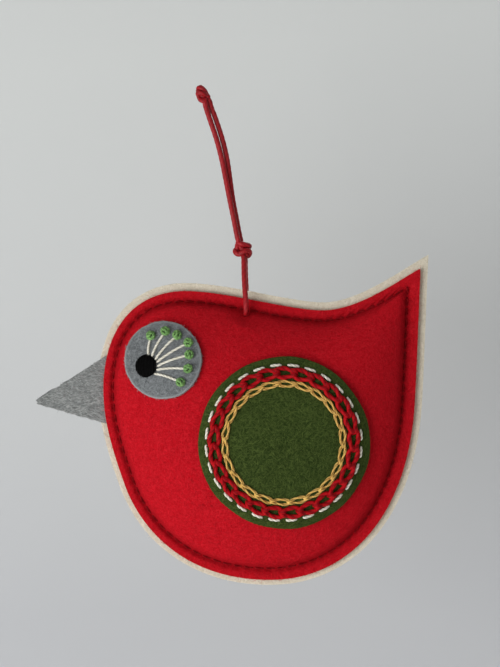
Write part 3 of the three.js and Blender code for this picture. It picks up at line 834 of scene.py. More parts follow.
def drapeTree():
    graph, given = geometryGraph("lay on felt", {"Felt": "Object", "Side": "Float"})
    x, y, z = graph.split(graph.get("GeometryNodeInputPosition"))
    side = given["Side"]
    cast = graph.add(
        "GeometryNodeRaycast",
        {"data_type": "FLOAT_VECTOR", "mapping": "INTERPOLATED"},
        {
            "Target Geometry": graph.shapeOf(given["Felt"]),
            "Attribute": graph.get("GeometryNodeInputNormal"),
            "Source Position": graph.vector(x, side * (rayLook["from"] * mm), z),
            "Ray Direction": graph.vector(y=-side),
            "Ray Length": rayLook["length"] * mm,
        },
    )
    up = graph.vectorMaths("NORMALIZE", graph.out(cast, "Attribute"))
    rise = graph.get("ShaderNodeVectorMath", {"operation": "SCALE"}, {0: up, "Scale": -y})
    there = graph.vectorMaths("ADD", graph.out(cast, "Hit Position"), rise)
    values = {"Geometry": given["Geometry"], "Position": there}
    return finishGraph(graph, graph.get("GeometryNodeSetPosition", values=values))


layOnFelt = drapeTree()
stitchInputs = {
    "Stitch": "Object",
    "Felt": "Object",
    "Side": "Float",
    "Wobble": "Float",
    "Material": "Material",
}


# What every stitch tree ends with: a stitch at each point, made real, laid on the felt, with its material
def sewn(graph, given, points, turn, seed, stretch=1.0):
    wobble = graph.chance(-given["Wobble"], given["Wobble"], seed)
    values = {
        "Points": points,
        "Instance": graph.shapeOf(given["Stitch"]),
        "Rotation": graph.rotation(turn + wobble),
        "Scale": graph.vector(stretch, 1.0, 1.0),
    }
    instances = graph.get("GeometryNodeInstanceOnPoints", values=values)
    real = graph.get("GeometryNodeRealizeInstances", values={"Geometry": instances})
    values = {"Geometry": real, "Felt": given["Felt"], "Side": given["Side"]}
    laid = graph.get("GeometryNodeGroup", {"node_tree": layOnFelt}, values, "Geometry")
    return withMaterial(graph, given, laid)


def ringTree():
    inputs = {"Count": "Int", "Radius": "Float", "Centre": "Vector", "Turn": "Float", **stitchInputs}
    graph, given = geometryGraph("ring of stitches", inputs)
    index = graph.get("GeometryNodeInputIndex")
    angle = index / given["Count"] * (2 * math.pi) + given["Turn"]
    radius = given["Radius"]
    away = graph.vector(graph.maths("COSINE", angle) * radius, 0.0, graph.maths("SINE", angle) * radius)
    place = graph.vectorMaths("ADD", away, given["Centre"])
    points = graph.get("GeometryNodePoints", values={"Count": given["Count"], "Position": place})
    longer = 1 + graph.chance(-given["Wobble"], given["Wobble"], 8)
    return sewn(graph, given, points, -(angle + math.pi / 2), 3, longer)


def pathTree():
    graph, given = geometryGraph("stitches along a path", {"Path": "Object", "Count": "Int", **stitchInputs})
    values = {"Curve": graph.shapeOf(given["Path"]), "Count": given["Count"]}
    spread = graph.add("GeometryNodeCurveToPoints", {"mode": "COUNT"}, values)
    x, _, z = graph.split(graph.out(spread, "Tangent"))
    return sewn(graph, given, graph.out(spread, "Points"), graph.maths("ARCTAN2", -z, x), 5)


# Stitches at the points of a mesh that say how far each is turned, stretched and lifted
def scatterTree():
    graph, given = geometryGraph("stitches at points", stitchInputs)

    def read(key):
        kind = "GeometryNodeInputNamedAttribute"
        return graph.get(kind, {"data_type": "FLOAT"}, {"Name": key}, "Attribute")

    points = graph.get("GeometryNodeMeshToPoints", values={"Mesh": given["Geometry"]})
    values = {"Geometry": points, "Offset": graph.vector(y=-read("lift"))}
    lifted = graph.get("GeometryNodeSetPosition", values=values)
    return sewn(graph, given, lifted, read("turn"), 6, read("stretch"))


# Loose wool hairs that stand a little off the felt, on the faces that show
hairLook = {
    "lengths": (1.2, 0.7),
    "radius": 0.036,
    "taper": 0.7,
    "bend": 0.35,
    "arch": 0.03,
    "sunk": 0.03,
    "steps": 4,
    "sides": 3,
    "lean": (-0.65, -0.02),
    "sizes": (0.5, 1.2),
    "showsOver": -0.3,
}


def fuzzTree():
    inputs = {"Hair": "Object", "Density": "Float", "Side": "Float", "Seed": "Int", "Material": "Material"}
    graph, given = geometryGraph("loose hairs", inputs)
    outer = graph.split(graph.get("GeometryNodeInputNormal"))[1] * given["Side"]
    values = {0: outer, 1: hairLook["showsOver"]}
    values = {
        "Mesh": given["Geometry"],
        "Selection": graph.get("FunctionNodeCompare", {"operation": "GREATER_THAN"}, values),
        "Density": given["Density"],
        "Seed": given["Seed"],
    }
    spread = graph.add("GeometryNodeDistributePointsOnFaces", values=values)
    leaning = graph.rotation(graph.chance(*hairLook["lean"], 4), graph.chance(0.0, 2 * math.pi, 5))
    values = {0: graph.out(spread, "Rotation"), 1: leaning}
    values = {
        "Points": graph.out(spread, "Points"),
        "Instance": graph.shapeOf(given["Hair"]),
        "Rotation": graph.get("FunctionNodeRotateRotation", {"rotation_space": "LOCAL"}, values),
        "Scale": graph.chance(*hairLook["sizes"], 6),
    }
    hairs = graph.get("GeometryNodeInstanceOnPoints", values=values)
    real = graph.get("GeometryNodeRealizeInstances", values={"Geometry": hairs})
    both = graph.add("GeometryNodeJoinGeometry", values={0: real})
    graph.fill(both, {0: given["Geometry"]})
    return withMaterial(graph, given, graph.out(both, 0))


ringOfStitches = ringTree()
stitchesAlongPath = pathTree()
stitchesAtPoints = scatterTree()
looseHairs = fuzzTree()


# Materials
def materialGraph(name):
    material = bpy.data.materials.new(name)
    material.use_nodes = True
    return material, Graph(material.node_tree), material.node_tree.nodes["Principled BSDF"]


# A colour as it is seen on a screen, as the linear colour that the nodes take
def linear(rgb):
    return tuple(((c / 255 + 0.055) / 1.055) ** 2.4 if c > 10 else c / 255 / 12.92 for c in rgb) + (1.0,)


def mixed(graph, factor, first, second):
    return graph.get("ShaderNodeMix", {"data_type": "RGBA"}, {0: factor, 6: first, 7: second})


def noiseAt(graph, place, scale, detail, rough=0.6, curl=0.0):
    values = {"Vector": place, "Scale": scale, "Detail": detail, "Roughness": rough, "Distortion": curl}
    return graph.get("ShaderNodeTexNoise", values=values)


# A factor spread out so that it is 0 at the low value and 1 at the high one
def ramped(graph, factor, low=0.3, high=0.7):
    return graph.get("ShaderNodeMapRange", values={"Value": factor, "From Min": low, "From Max": high})


def attribute(graph, name):
    return graph.get("ShaderNodeAttribute", {"attribute_name": name}, output="Fac")


def bumped(graph, strength, distance, height):
    values = {"Strength": strength, "Distance": distance, "Height": height}
    return graph.get("ShaderNodeBump", values=values, output="Normal")


# Pressed wool: light hairs that cross each other over darker ones, and blotches of denser dye
feltLook = {
    "turns": (0.25, 0.95, 1.7, 2.5),
    "fibre": 4200,
    "stretch": 7.0,
    "curl": 0.9,
    "grain": 1500,
    "blotch": 260,
    "blotchMix": 0.35,
    "grooveShadeMix": 0.35,
    "hairMix": 0.4,
    "looseMix": 0.6,
    "rimMix": 0.0,
    "bump": 0.6,
    "specular": 0.08,
    "sheen": 0.06,
}


def hairsAt(graph, place, look, turn):
    size = 1 / look["fibre"]
    values = {"Vector": place, "Rotation": (0.15, turn, 0.1), "Scale": (size, size, size * look["stretch"])}
    mapped = graph.get("ShaderNodeMapping", {"vector_type": "TEXTURE"}, values)
    return ramped(graph, noiseAt(graph, mapped, 1.0, 1.5, 0.5, look["curl"]), 0.5, 0.68)


# The colours are those of the seam groove's painted shade, the ground (dark and middle), the hairs and the
# worn patches
def feltMaterial(name, colours, **changes):
    look = {**feltLook, **changes}
    deep, dark, middling, light, worn = (linear(colour) for colour in colours)
    material, graph, shader = materialGraph(name)
    place = graph.get("ShaderNodeTexCoord", output="Object")
    hairs = 0.0
    for turn in look["turns"]:
        hairs = graph.maths("MAXIMUM", hairs, hairsAt(graph, place, look, turn))
    blotch = ramped(graph, noiseAt(graph, place, look["blotch"], 4.0, curl=0.4))
    grain = ramped(graph, noiseAt(graph, place, look["grain"], 2.0))
    ground = mixed(graph, grain, dark, middling)
    tinted = mixed(graph, blotch * look["blotchMix"], ground, worn)
    loose = attribute(graph, "loose") * look["looseMix"]
    # Lighter disc rims: partly fuzz, partly painted light
    rim = attribute(graph, "rim") * look["rimMix"]
    lighter = graph.maths("MAXIMUM", graph.maths("MAXIMUM", hairs * look["hairMix"], loose), rim)
    haired = mixed(graph, lighter, tinted, light)
    values = {
        # The seam groove is darkened with painted shade
        "Base Color": mixed(graph, attribute(graph, "groove") * look["grooveShadeMix"], haired, deep),
        "Roughness": 0.95,
        "Normal": bumped(graph, look["bump"], 0.3 * mm, hairs * 0.6 + grain * 0.3 + blotch * 0.4),
        "Specular IOR Level": look["specular"],
        "Sheen Weight": look["sheen"],
        "Sheen Roughness": 0.6,
        "Sheen Tint": light,
    }
    graph.fill(shader, values)
    return material


redFelt = feltMaterial(
    "red felt",
    [(110, 2, 8), (164, 10, 20), (192, 16, 30), (222, 44, 56), (176, 10, 22)],
    hairMix=0.35,
    sheen=0.03,
    specular=0.04,
)
creamFelt = feltMaterial(
    "cream felt", [(176, 164, 138), (206, 196, 174), (224, 216, 196), (244, 238, 222), (214, 204, 182)]
)
greyFelt = feltMaterial(
    "grey felt",
    [(78, 80, 80), (96, 99, 99), (124, 127, 126), (178, 181, 179), (112, 115, 115)],
    turns=(1.3, 1.5, 1.75, 2.3),
    hairMix=0.6,
)
blueGreyFelt = feltMaterial(
    "blue grey felt",
    [(62, 66, 68), (80, 84, 86), (100, 104, 106), (168, 172, 174), (88, 93, 96)],
    looseMix=0.9,
    hairMix=0.5,
    rimMix=0.7,
)
greenFelt = feltMaterial(
    "green felt",
    [(16, 24, 9), (27, 42, 13), (40, 56, 20), (90, 106, 52), (44, 56, 20)],
    hairMix=0.55,
    rimMix=0.25,
)
looseFibre = feltMaterial(
    "loose fibre",
    [(190, 186, 176), (216, 212, 202), (232, 229, 220), (250, 248, 242), (226, 222, 213)],
    fibre=1500,
)

# Twisted yarn: the furrows between its strands are darkened with painted shade, and fine fibres run along it,
# their lighter flecks partly painted highlights
yarnLook = {
    "fibre": 5200,
    "fibreAndGlintMix": 0.35,
    "tone": 700,
    "furrow": 0.75,
    "roughness": 0.55,
    "specular": 0.3,
    "coat": 0.0,
    "sheen": 0.1,
}


# The colours are the two of the yarn, the furrows' painted shade, and the fibres', which partly stand for
# painted highlights
def yarnMaterial(name, colours, **changes):
    look = {**yarnLook, **changes}
    dark, light, deep, tip = (linear(colour) for colour in colours)
    material, graph, shader = materialGraph(name)
    place = graph.get("ShaderNodeTexCoord", output="Object")
    fibre = ramped(graph, noiseAt(graph, place, look["fibre"], 2.0, curl=0.6))
    tone = ramped(graph, noiseAt(graph, place, look["tone"], 2.0, 0.5))
    # Lighter fibre flecks in the tip colour, partly painted highlights
    lit = mixed(graph, fibre * look["fibreAndGlintMix"], mixed(graph, tone, dark, light), tip)
    values = {
        # Painted shade in the furrows between strands
        "Base Color": mixed(graph, attribute(graph, "crease") * look["furrow"], lit, deep),
        "Roughness": look["roughness"] + fibre * 0.1,
        "Normal": bumped(graph, 0.35, 0.1 * mm, fibre),
        "Specular IOR Level": look["specular"],
        "Coat Weight": look["coat"],
        "Coat Roughness": 0.35,
        "Sheen Weight": look["sheen"],
    }
    graph.fill(shader, values)
    return material


waxedCord = yarnMaterial(
    "waxed cord",
    [(142, 8, 18), (164, 14, 26), (88, 4, 10), (194, 42, 50)],
    coat=0.12,
    roughness=0.45,
    specular=0.22,
    tone=420,
    furrow=0.55,
    sheen=0.0,
)
whiteThread = yarnMaterial(
    "white thread", [(222, 218, 200), (244, 241, 228), (128, 120, 96), (252, 250, 242)]
)
redYarn = yarnMaterial(
    "red embroidery thread",
    [(158, 4, 14), (184, 8, 20), (62, 2, 8), (200, 24, 34)],
    sheen=0.0,
    furrow=0.85,
    specular=0.1,
)
goldYarn = yarnMaterial(
    "gold embroidery thread", [(200, 144, 48), (232, 188, 90), (96, 48, 8), (248, 224, 150)], furrow=1.0
)
greenYarn = yarnMaterial(
    "green embroidery thread", [(80, 132, 56), (120, 176, 88), (12, 34, 10), (182, 224, 154)], furrow=0.95
)
blackThread = yarnMaterial(
    "black satin thread",
    [(2, 2, 2), (5, 5, 5), (1, 1, 1), (12, 12, 12)],
    roughness=0.65,
    specular=0.05,
    sheen=0.0,
)
seamRed = yarnMaterial(
    "red seam thread",
    [(124, 4, 10), (146, 8, 16), (80, 2, 6), (164, 24, 32)],
    furrow=0.5,
    sheen=0.0,
    specular=0.1,
)
seamCream = yarnMaterial(
    "cream seam thread", [(200, 190, 168), (222, 214, 194), (150, 140, 116), (238, 232, 216)], sheen=0.0
)
print("materials made")


# Discs of felt, cut by hand: how far in from the rim each ring lies, and its share of the thickness
discLook = {
    "felt": 1.2,
    "around": 200,
    "flat": (0.03, 0.94, 26),
    "rim": [(0.3, 1), (0.12, 0.95), (0.02, 0.8), (0, 0.5), (0.03, 0.2)],
    "under": 0.02,
    "underFrom": 0.15,
    # worn: the band at the rim drawn lighter, partly the cut edge's fuzz and partly painted light over the
    # rim's shade
    "worn": (0.9, 0.1),
    "wavy": ((5, 0.0035), (11, 0.0025)),
}


def discMesh(name, centre, diameter, seed):
    radius, felt, low = diameter / 2, discLook["felt"], discLook["under"]
    profile = [(radius * 0.5, low), (radius - discLook["underFrom"], low)]
    profile += [(radius - inset, felt * share) for inset, share in reversed(discLook["rim"])]
    profile += [(radius * share, felt) for share in reversed(np.linspace(*discLook["flat"]))]
    around = discLook["around"]
    points = []
    for reach, height in profile:
        for k in range(around):
            angle = -2 * math.pi * k / around
            wavy = 1
            for turn, (waveCount, size) in enumerate(discLook["wavy"]):
                wavy += size * math.sin(waveCount * angle + (turn + 1) * seed)
            x, z = centre + reach * wavy * np.array([math.cos(angle), math.sin(angle)])
            points.append((x, -height, z))
    points += [(centre[0], -low, centre[1]), (centre[0], -felt, centre[1])]
    wide, narrow = discLook["worn"]
    # The top face's rim band is made lighter: partly fuzz, partly painted light over the rim's shade
    worn = [smoothStep(radius - wide, radius - narrow, reach) * (height > 0.1) for reach, height in profile]
    faces = gridFaces(len(profile), around)
    end = (len(profile) - 1) * around
    faces += [face[::-1] for face in fan(0, around, len(points) - 2)]
    faces += fan(end, around, len(points) - 1)
    return outwards(newMesh(name, points, faces, {"rim": np.append(np.repeat(worn, around), [0, 0])}))


eyeLook = {
    "diameter": 18.9,
    "place": (0.193, 0.703),
    "pupil": (-4.3, -1.4),
    "pupilDiameter": 5.35,
    "lashStart": 2.6,
    "lashEnd": 0.6,
    "lashAngles": [78, 60, 36, 20, 0, -19, -42],
    "knotRings": [6.9, 7.2, 7.1, 7.5, 6.5, 6.4, 6.8],
    "knotAngles": [117, 87, 62, 36, 13, -18, -51],
    "knotTurn": 1.3,
    "lash": {"diameter": 0.62, "plies": 2, "pitch": 1.7, "relief": 0.34, "sides": 12},
    "lashArch": {"length": 6.0, "height": 0.2852, "drop": 0.37076, "power": 8, "points": 41, "bend": 0.045},
    "knot": {"diameter": 0.72, "plies": 2, "pitch": 1.5, "relief": 0.42, "sides": 14},
    "satin": {"diameter": 0.56, "plies": 2, "pitch": 7.0, "relief": 0.16, "sides": 10},
    "satinRows": {
        "count": 13,
        "inset": 0.2,
        "narrowing": 0.96,
        "reach": 0.95,
        "dome": 0.3,
        "step": 0.06,
        "high": 0.62,
        "low": 0.02,
        "points": 19,
    },
}
wingLook = {
    "diameter": 42,
    "place": (0.567, 0.444),
    "running": {"count": 28, "radius": 19.1, "turn": 0.1},
    "runningArch": {"length": 2.75, "height": 0.294, "drop": 0.5586, "power": 4, "points": 25},
    "runningYarn": {"diameter": 0.7, "plies": 2, "pitch": 2.2, "relief": 0.24, "sides": 14},
    "red": {"count": 25, "radius": 17.1, "width": 3.4, "turn": 0.0, "overlap": 1.24, "low": 0.42},
    "redYarn": {"diameter": 1.14, "plies": 2, "pitch": 5.0, "relief": 0.24, "sides": 16},
    "gold": {"count": 22, "radius": 14.5, "width": 1.95, "turn": 0.05, "overlap": 1.2, "low": 0.36},
    "goldYarn": {"diameter": 0.7, "plies": 2, "pitch": 5.0, "relief": 0.55, "sides": 14},
}
eyeCentre = bodyPlace(*eyeLook["place"])
wingCentre = bodyPlace(*wingLook["place"])
pupilCentre = eyeCentre + eyeLook["pupil"]


def makeDisc(name, centre, diameter, seed):
    return grow(discMesh(name, centre, diameter, seed), layOnFelt, {"Felt": frontFelt, "Side": -1.0})


eyeDisc = makeDisc("felt_eye_disc", eyeCentre, eyeLook["diameter"], 0.8)
wingDisc = makeDisc("felt_wing_disc", wingCentre, wingLook["diameter"], 2.1)
print("discs laid")


# Stitches: each is one flat shape, x along the stitch and -y up from the felt
def archShape(name, look, yarn):
    line = []
    for share in np.linspace(-1, 1, look["points"]):
        up = look["height"] - look["drop"] * abs(share) ** look["power"]
        bent = look.get("bend", 0.0) * look["length"] * (1 - share**2)
        line.append((share * look["length"] / 2, -up, bent))
    return threadMesh(name, [line], yarn)


# One link: up at its pointed start, over the round end of the link before, round, and back.
# Heights and the belly are in thread diameters, places and widths along the link in its length
linkLook = {
    "belly": 1.3,
    "hump": 0.55,
    "humpAt": 0.16,
    "humpWidth": 0.11,
    "sunk": 1.3,
    "sunkWidth": 0.045,
    "points": 57,
}


def linkShape(name, look, yarn):
    pitch = 2 * math.pi * look["radius"] / look["count"]
    longest = pitch * look["overlap"]
    reach = (look["width"] - yarn["diameter"]) / 2
    line = []
    for phase in np.linspace(0.0, 2 * math.pi, linkLook["points"]):
        along = (1 - math.cos(phase)) / 2
        across = math.sin(phase) * math.sin(phase / 2) * linkLook["belly"] * reach
        hump = linkLook["hump"] * bell((along - linkLook["humpAt"]) / linkLook["humpWidth"])
        sunk = linkLook["sunk"] * bell(along / linkLook["sunkWidth"])
        down = yarn["diameter"] * (sunk - look["low"] - hump)
        line.append((along * longest - pitch / 2, down, across))
    return threadMesh(name, [line], yarn)


# Two turns about the needle, then the thread comes over the middle and goes down
knotLook = {
    "turns": 2.1,
    "points": 16,
    "reach": 0.87,
    "narrows": 0.12,
    "low": 0.3,
    "climbs": 0.5,
    "over": [
        (0.36, -1.12, 0.42), (0.0, -1.2, 0.06), (-0.34, -1.1, -0.3), (-0.6, -0.7, -0.62),
        (-0.66, -0.2, -0.7),
    ],
    "step": 0.12,
}


def knotShape():
    line = []
    for share in np.linspace(0, 1, knotLook["points"]):
        angle = share * 2 * math.pi * knotLook["turns"]
        reach = knotLook["reach"] - knotLook["narrows"] * share
        height = knotLook["low"] + knotLook["climbs"] * share
        line.append((reach * math.cos(angle), -height, reach * math.sin(angle)))
    line = smoothLine(line + knotLook["over"], knotLook["step"])
    return threadMesh("french knot", [line], eyeLook["knot"])


def satinShape():
    look = eyeLook["satinRows"]
    line = []
    for share in np.linspace(-1, 1, look["points"]):
        line.append((share, -(look["high"] * math.sqrt(1 - share**2) + look["low"]), 0.0))
    return threadMesh("satin stitch", [line], eyeLook["satin"])


shapes = {
    "running": archShape("running stitch", wingLook["runningArch"], wingLook["runningYarn"]),
    "red": linkShape("red link", wingLook["red"], wingLook["redYarn"]),
    "gold": linkShape("gold link", wingLook["gold"], wingLook["goldYarn"]),
    "knot": knotShape(),
    "lash": archShape("lash", eyeLook["lashArch"], eyeLook["lash"]),
    "satin": satinShape(),
    "seam": archShape("seam stitch", seamLook["arch"], seamLook["yarn"]),
}


# Sews with one of the trees above, from a mesh of points that the tree may read
def sew(name, tree, stitch, felt, material, wobble, values, side=-1.0, points=((0, 0, 0),), marks=None):
    shared = {"Stitch": shapes[stitch], "Felt": felt, "Side": side, "Wobble": wobble, "Material": material}
    return grow(newMesh(name, points, [], marks), tree, {**shared, **values})


def sewRing(name, stitch, material, wobble=0.02):
    look = wingLook[stitch]
    centre = (wingCentre[0] * mm, 0.0, wingCentre[1] * mm)
    values = {"Count": look["count"], "Radius": look["radius"] * mm, "Centre": centre, "Turn": look["turn"]}
    return sew(name, ringOfStitches, stitch, wingDisc, material, wobble, values)


runningRing = sewRing("running_stitches_white", "running", whiteThread, 0.04)
redRing = sewRing("chain_stitches_red", "red", redYarn)
goldRing = sewRing("chain_stitches_gold", "gold", goldYarn)
print("wing sewn")


# Each stitch of the eye is given as its place, turn, stretch and lift
def sewEye(name, stitch, material, stitches, wobble=0.0):
    places, turns, stretches, lifts = zip(*stitches)
    marks = {"turn": turns, "stretch": stretches, "lift": np.array(lifts) * mm}
    points = [(x, 0.0, z) for x, z in places]
    return sew(name, stitchesAtPoints, stitch, eyeDisc, material, wobble, {}, points=points, marks=marks)


def around(centre, radius, degrees):
    angle = math.radians(degrees)
    return centre + radius * np.array([math.cos(angle), math.sin(angle)])


def lashesAndKnots():
    lashes, knots = [], []
    for i, start in enumerate(eyeLook["lashAngles"]):
        begin = around(pupilCentre, eyeLook["lashStart"], start)
        knot = around(eyeCentre, eyeLook["knotRings"][i], eyeLook["knotAngles"][i])
        way = knot - begin
        length = np.linalg.norm(way) - eyeLook["lashEnd"]
        place = begin + unit(way) * length / 2
        lashes.append((place, math.atan2(-way[1], way[0]), length / eyeLook["lashArch"]["length"], 0.0))
        knots.append((knot, eyeLook["knotTurn"] * i, 1.0, 0.0))
    return lashes, knots


def satinRows():
    look, radius = eyeLook["satinRows"], eyeLook["pupilDiameter"] / 2
    rows = []
    for i in range(look["count"]):
        share = -1 + 2 * (i + 0.5) / look["count"]
        chord = math.sqrt(1 - (share * look["narrowing"]) ** 2)
        place = pupilCentre + (share * (radius - look["inset"]), 0.0)
        lift = look["dome"] * chord + look["step"] * (i % 2)
        rows.append((place, -math.pi / 2, chord * radius * look["reach"], lift))
    return rows


lashRows, knotRows = lashesAndKnots()
lashes = sewEye("lash_stitches", "lash", whiteThread, lashRows)
frenchKnots = sewEye("french_knots", "knot", greenYarn, knotRows)
satinPupil = sewEye("satin_pupil", "satin", blackThread, satinRows(), 0.02)
print("eye sewn")


def seamPath():
    curve = bpy.data.curves.new("seam path", "CURVE")
    curve.dimensions = "3D"
    spline = curve.splines.new("POLY")
    spline.points.add(len(seam) - 1)
    for point, (x, z) in zip(spline.points, seam):
        point.co = (x * mm, 0, z * mm, 1)
    spline.use_cyclic_u = True
    return placed("seam path", curve)


def sewSeam(name, felt, side, material):
    values = {"Path": seamLine, "Count": seamStitches}
    return outwards(sew(name, stitchesAlongPath, "seam", felt, material, 0.03, values, side))


seamLine = seamPath()
frontSeam = sewSeam("seam_stitches_front", frontFelt, -1.0, seamRed)
backSeam = sewSeam("seam_stitches_back", backFelt, 1.0, seamCream)
print("seam sewn")


# A flat triangle of felt with slightly wavy edges and a blunt tip
def makeBeak():
    rows, columns, tipRadius = beakLook["rows"], beakLook["columns"], beakLook["tipRadius"]
    (sway, swaySize), (sizeX, perX), (sizeZ, perZ) = (beakLook[key] for key in ("sway", "wavyX", "wavyZ"))
    points = []
    for x in np.linspace(beakRootX, beakTip[0], rows):
        blunt = tipRadius * math.sqrt(min(1, max(beakLook["leastTip"], (x - beakTip[0]) / tipRadius)))
        top = np.interp(x, [beakTip[0], beakTop[0]], [beakTip[1] + blunt, beakTop[1]])
        low = np.interp(x, [beakTip[0], beakBottom[0]], [beakTip[1] - blunt, beakBottom[1]])
        for c, z in enumerate(np.linspace(low, top, columns)):
            swayed = sway * waves(np.array([[x, z]]), swaySize, 0.4)[0] if 0 < c < columns - 1 else 0.0
            y = swayed - beakLook["felt"] / 2
            points.append((x + sizeX * math.sin(z * perX), y, z + sizeZ * math.sin(x * perZ)))
    made = newMesh("felt_beak", points, gridFaces(rows, columns, closed=False))
    if made.data.polygons[0].normal.y > 0:
        made.data.flip_normals()
    return thickened(made, beakLook["felt"], beakLook["rounding"])


# The filling: two domes of loose fibre just inside the felts, closed at their rims
fillingLook = {
    "every": 6,
    "shares": (0.93, 0.05, 16),
    "shrink": 0.985,
    "gap": 0.5,
    "lumps": 0.25,
    "least": 0.3,
}


def makeFilling():
    loop = seam[:: fillingLook["every"]]
    shares = fillingLook["shrink"] * np.linspace(*fillingLook["shares"])
    domes = []
    for side in (-1, 1):
        for share in shares:
            flat = middle + (loop - middle) * share
            lumps = fillingLook["lumps"] * waves(flat, 5, 3.0 + side)
            depth = bodyLook["puff"][side] * swell(flat) - fillingLook["gap"] + lumps
            domes.append(standing(flat, side * np.maximum(depth, fillingLook["least"])))
    count = len(loop)
    size = len(shares) * count
    points = np.vstack(domes)
    tips = [(middle[0], points[end, 1], middle[1]) for end in (size - 1, 2 * size - 1)]
    faces = [face[::-1] for face in gridFaces(len(shares), count)]
    faces += [tuple(v + size for v in face[::-1]) for face in faces]
    end = size - count
    for i in range(count):
        n = (i + 1) % count
        faces.append((end + n, end + i, 2 * size))
        faces.append((size + end + i, size + end + n, 2 * size + 1))
        faces.append((i, n, size + n, size + i))
    return outwards(newMesh("fibre_filling", np.vstack([points, tips]), faces))


beak = makeBeak()
filling = makeFilling()
frontFelt = thickened(frontFelt, bodyLook["felt"], bodyLook["rounding"])
backFelt = thickened(backFelt, bodyLook["felt"], bodyLook["rounding"])
print("body closed")

for shape in [*shapes.values(), seamLine]:
    bpy.data.objects.remove(shape)


# One wool hair along +X, bent, with its foot just under the felt's face
def hairShape(length):
    steps, sides = hairLook["steps"], hairLook["sides"]
    points = []
    for share in np.linspace(0, 1, steps):
        reach = hairLook["radius"] * (1 - hairLook["taper"] * share)
        side = hairLook["bend"] * share**2
        up = 4 * hairLook["arch"] * share * (1 - share) - hairLook["sunk"]
        for k in range(sides):
            angle = 2 * math.pi * k / sides
            points.append((length * share, side + reach * math.cos(angle), up + reach * math.sin(angle)))
    last = len(points) - sides
    faces = gridFaces(steps, sides) + [tuple(range(sides))[::-1], tuple(range(last, last + sides))]
    return outwards(newMesh("wool hair", points, faces, {"loose": [1.0] * len(points)}))


# Density is in hairs for each square millimetre
def fuzzed(made, hair, side, material, density, seed):
    values = {"Hair": hair, "Density": density / mm**2, "Side": side, "Seed": seed, "Material": material}
    return grow(made, looseHairs, values)


longHair, shortHair = (hairShape(length) for length in hairLook["lengths"])
frontFelt = fuzzed(frontFelt, longHair, -1.0, redFelt, 0.7, 1)
backFelt = fuzzed(backFelt, longHair, 1.0, creamFelt, 0.66, 2)
eyeDisc = fuzzed(eyeDisc, shortHair, -1.0, blueGreyFelt, 4.0, 3)
wingDisc = fuzzed(wingDisc, shortHair, -1.0, greenFelt, 2.0, 4)
beak = fuzzed(beak, shortHair, 0.0, greyFelt, 2.0, 5)
for hair in (longHair, shortHair):
    bpy.data.objects.remove(hair)
print("felt fuzzed", len(frontFelt.data.polygons))


# What each piece rides on, stands for and is made of
def dress(made, body, nodes, material):
    made.data.materials.clear()
    made.data.materials.append(material)
    if body:
        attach(made, body)
    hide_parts(*nodes)


def onBird(made, nodes, material):
    made.data.transform(birdFrame)
    dress(made, "bird", nodes, material)


eyeStitches = range(1, len(eyeLook["lashAngles"]) + 1)
onBird(frontFelt, ["red_front_felt"], redFelt)
onBird(backFelt, ["cream_back_felt"], creamFelt)
onBird(filling, ["filling"], looseFibre)
onBird(beak, ["beak_felt"], greyFelt)
onBird(eyeDisc, ["eye_disc"], blueGreyFelt)
onBird(wingDisc, ["wing_disc"], greenFelt)
onBird(satinPupil, ["pupil_stitch"], blackThread)
onBird(lashes, ["lash_stitch_%d" % i for i in eyeStitches], whiteThread)
onBird(frenchKnots, ["french_knot_%d" % i for i in eyeStitches], greenYarn)
onBird(runningRing, ["wing_running_thread"], whiteThread)
onBird(redRing, ["red_chain_stitch"], redYarn)
onBird(goldRing, ["gold_chain_stitch"], goldYarn)
onBird(frontSeam, ["seam_thread_front"], seamRed)
onBird(backSeam, ["seam_thread_back"], seamCream)
dress(leftStrand, None, ["cord_strand_left"], waxedCord)
dress(rightStrand, None, ["cord_strand_right"], waxedCord)
dress(topKnot, "hanger", ["top_knot"], waxedCord)
dress(lowerKnot, "knot", ["lower_knot"], waxedCord)
dress(lowerCord, "loop", ["lower_loop"], waxedCord)


def declareCord(line):
    tuple(line[0] * mm)
    [tuple(p * mm) for p in line]


def declareSheet(area):
    area * mm**2


def declareDisc(diameter):
    declareSheet(math.pi * diameter**2 / 4)


# The two strands, from the top knot down to the lower knot, keep their places baked into their meshes
for strand in (leftStrand, rightStrand):
    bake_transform(strand)
declareCord(leftLine)
declareCord(rightLine)
declareCord(lowerLine)
declareDisc(eyeLook["diameter"])
declareDisc(wingLook["diameter"])
beakArea = beakHigh * (beakRootX - beakTop[0] + (beakTop[0] - beakTip[0]) / 2)
declareSheet(beakArea)
print("pieces dressed")


# The wall and the floor: plain, pale, and open from behind; places in the room are in metres
roomLook = {
    "wallColour": (214, 217, 216),
    # The wall's painted shade: its colour at the bottom, and the heights over which it darkens
    "wallShadedBelow": (192, 194, 197),
    "wallShadeRamp": (-0.13, 0.02),
    "floorColour": (214, 213, 212),
    "wallDepth": 84,
    # Painted light: the share of the wall's look that glows for the camera, and how strongly
    "wallFlat": 0.4,
    "wallGlow": 0.9,
    "floorDrop": -420,
    "far": 2,
    "world": (1.0, 0.99, 0.97),
    "worldStrength": 0.35,
    "aim": (0, 0, -0.08),
    "lights": {  # each with its place, size and power
        "window light": ((-0.31, -0.33, -0.15), 0.4, 1.93),
        "fill light": ((0.6, -0.9, 0.5), 0.8, 0.5),
        "rear light": ((0.3, 0.8, 0.3), 0.8, 8.0),
    },
}


def plainSurface(name, colour):
    material, graph, shader = materialGraph(name)
    graph.fill(shader, {"Base Color": linear(colour), "Roughness": 0.9, "Specular IOR Level": 0.1})
    return material, graph, shader
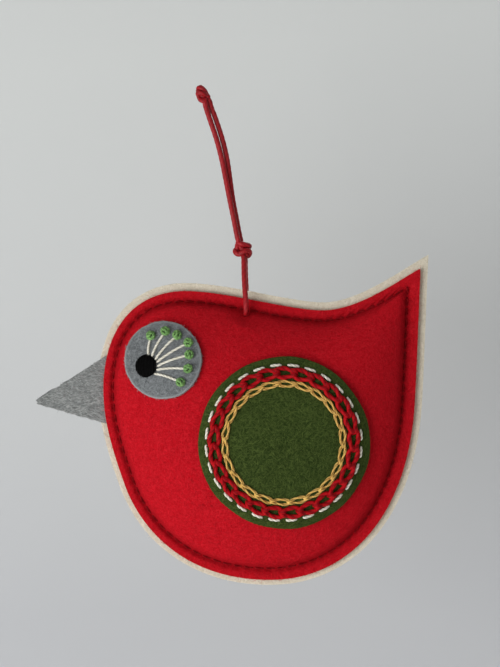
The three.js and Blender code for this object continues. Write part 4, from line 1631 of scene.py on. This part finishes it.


# The wall darkens downwards with painted shade, isn't seen from behind, throws no shadow, and glows a little
# for the camera as painted light that lifts the shadows on it
def wallMaterial():
    material, graph, shader = plainSurface("pale wall", roomLook["wallColour"])
    high = graph.split(graph.get("ShaderNodeTexCoord", output="Object"))[2]
    # Painted shade: darker towards the bottom of the wall
    turned = ramped(graph, high, *roomLook["wallShadeRamp"])
    shade = mixed(graph, turned, linear(roomLook["wallShadedBelow"]), linear(roomLook["wallColour"]))
    graph.fill(shader, {"Base Color": shade})
    # Painted light: a camera-only glow that lifts the shadows on the wall
    glow = graph.get("ShaderNodeEmission", values={"Color": shade, "Strength": roomLook["wallGlow"]})
    seen = graph.get("ShaderNodeLightPath", output="Is Camera Ray") * roomLook["wallFlat"]
    surface = graph.get("ShaderNodeMixShader", values={0: seen, 1: graph.out(shader, 0), 2: glow})
    behind = graph.get("ShaderNodeNewGeometry", output="Backfacing")
    shadow = graph.get("ShaderNodeLightPath", output="Is Shadow Ray")
    hidden = graph.maths("MAXIMUM", behind, shadow)
    clear = graph.get("ShaderNodeBsdfTransparent")
    shown = graph.get("ShaderNodeMixShader", values={0: hidden, 1: surface, 2: clear})
    graph.fill(material.node_tree.nodes["Material Output"], {"Surface": shown})
    return material


def plane(name, corners, material):
    mesh = bpy.data.meshes.new(name)
    mesh.from_pydata(corners, [], [(0, 1, 2, 3)])
    mesh.materials.append(material)
    placed(name, mesh)


def areaLight(name, place, size, power):
    data = bpy.data.lights.new(name, "AREA")
    data.shape = "DISK"
    data.size = size
    data.energy = power
    made = placed(name, data)
    made.location = place
    aim = Vector(roomLook["aim"]) - Vector(place)
    made.rotation_euler = aim.to_track_quat("-Z", "Y").to_euler()


def makeRoom():
    deep, drop, far = roomLook["wallDepth"] * mm, roomLook["floorDrop"] * mm, roomLook["far"]
    corners = [(-far, -far), (far, -far), (far, far), (-far, far)]
    plane("wall", [(x, deep, z) for x, z in corners], wallMaterial())
    floor, _, _ = plainSurface("pale floor", roomLook["floorColour"])
    plane("floor", [(x, y, drop) for x, y in corners], floor)
    world = bpy.data.worlds.new("soft daylight")
    world.use_nodes = True
    background = world.node_tree.nodes["Background"]
    background.inputs["Color"].default_value = (*roomLook["world"], 1)
    background.inputs["Strength"].default_value = roomLook["worldStrength"]
    bpy.context.scene.world = world
    for name, (place, size, power) in roomLook["lights"].items():
        areaLight(name, place, size, power)


makeRoom()
bpy.context.scene.view_settings.view_transform = "Standard"
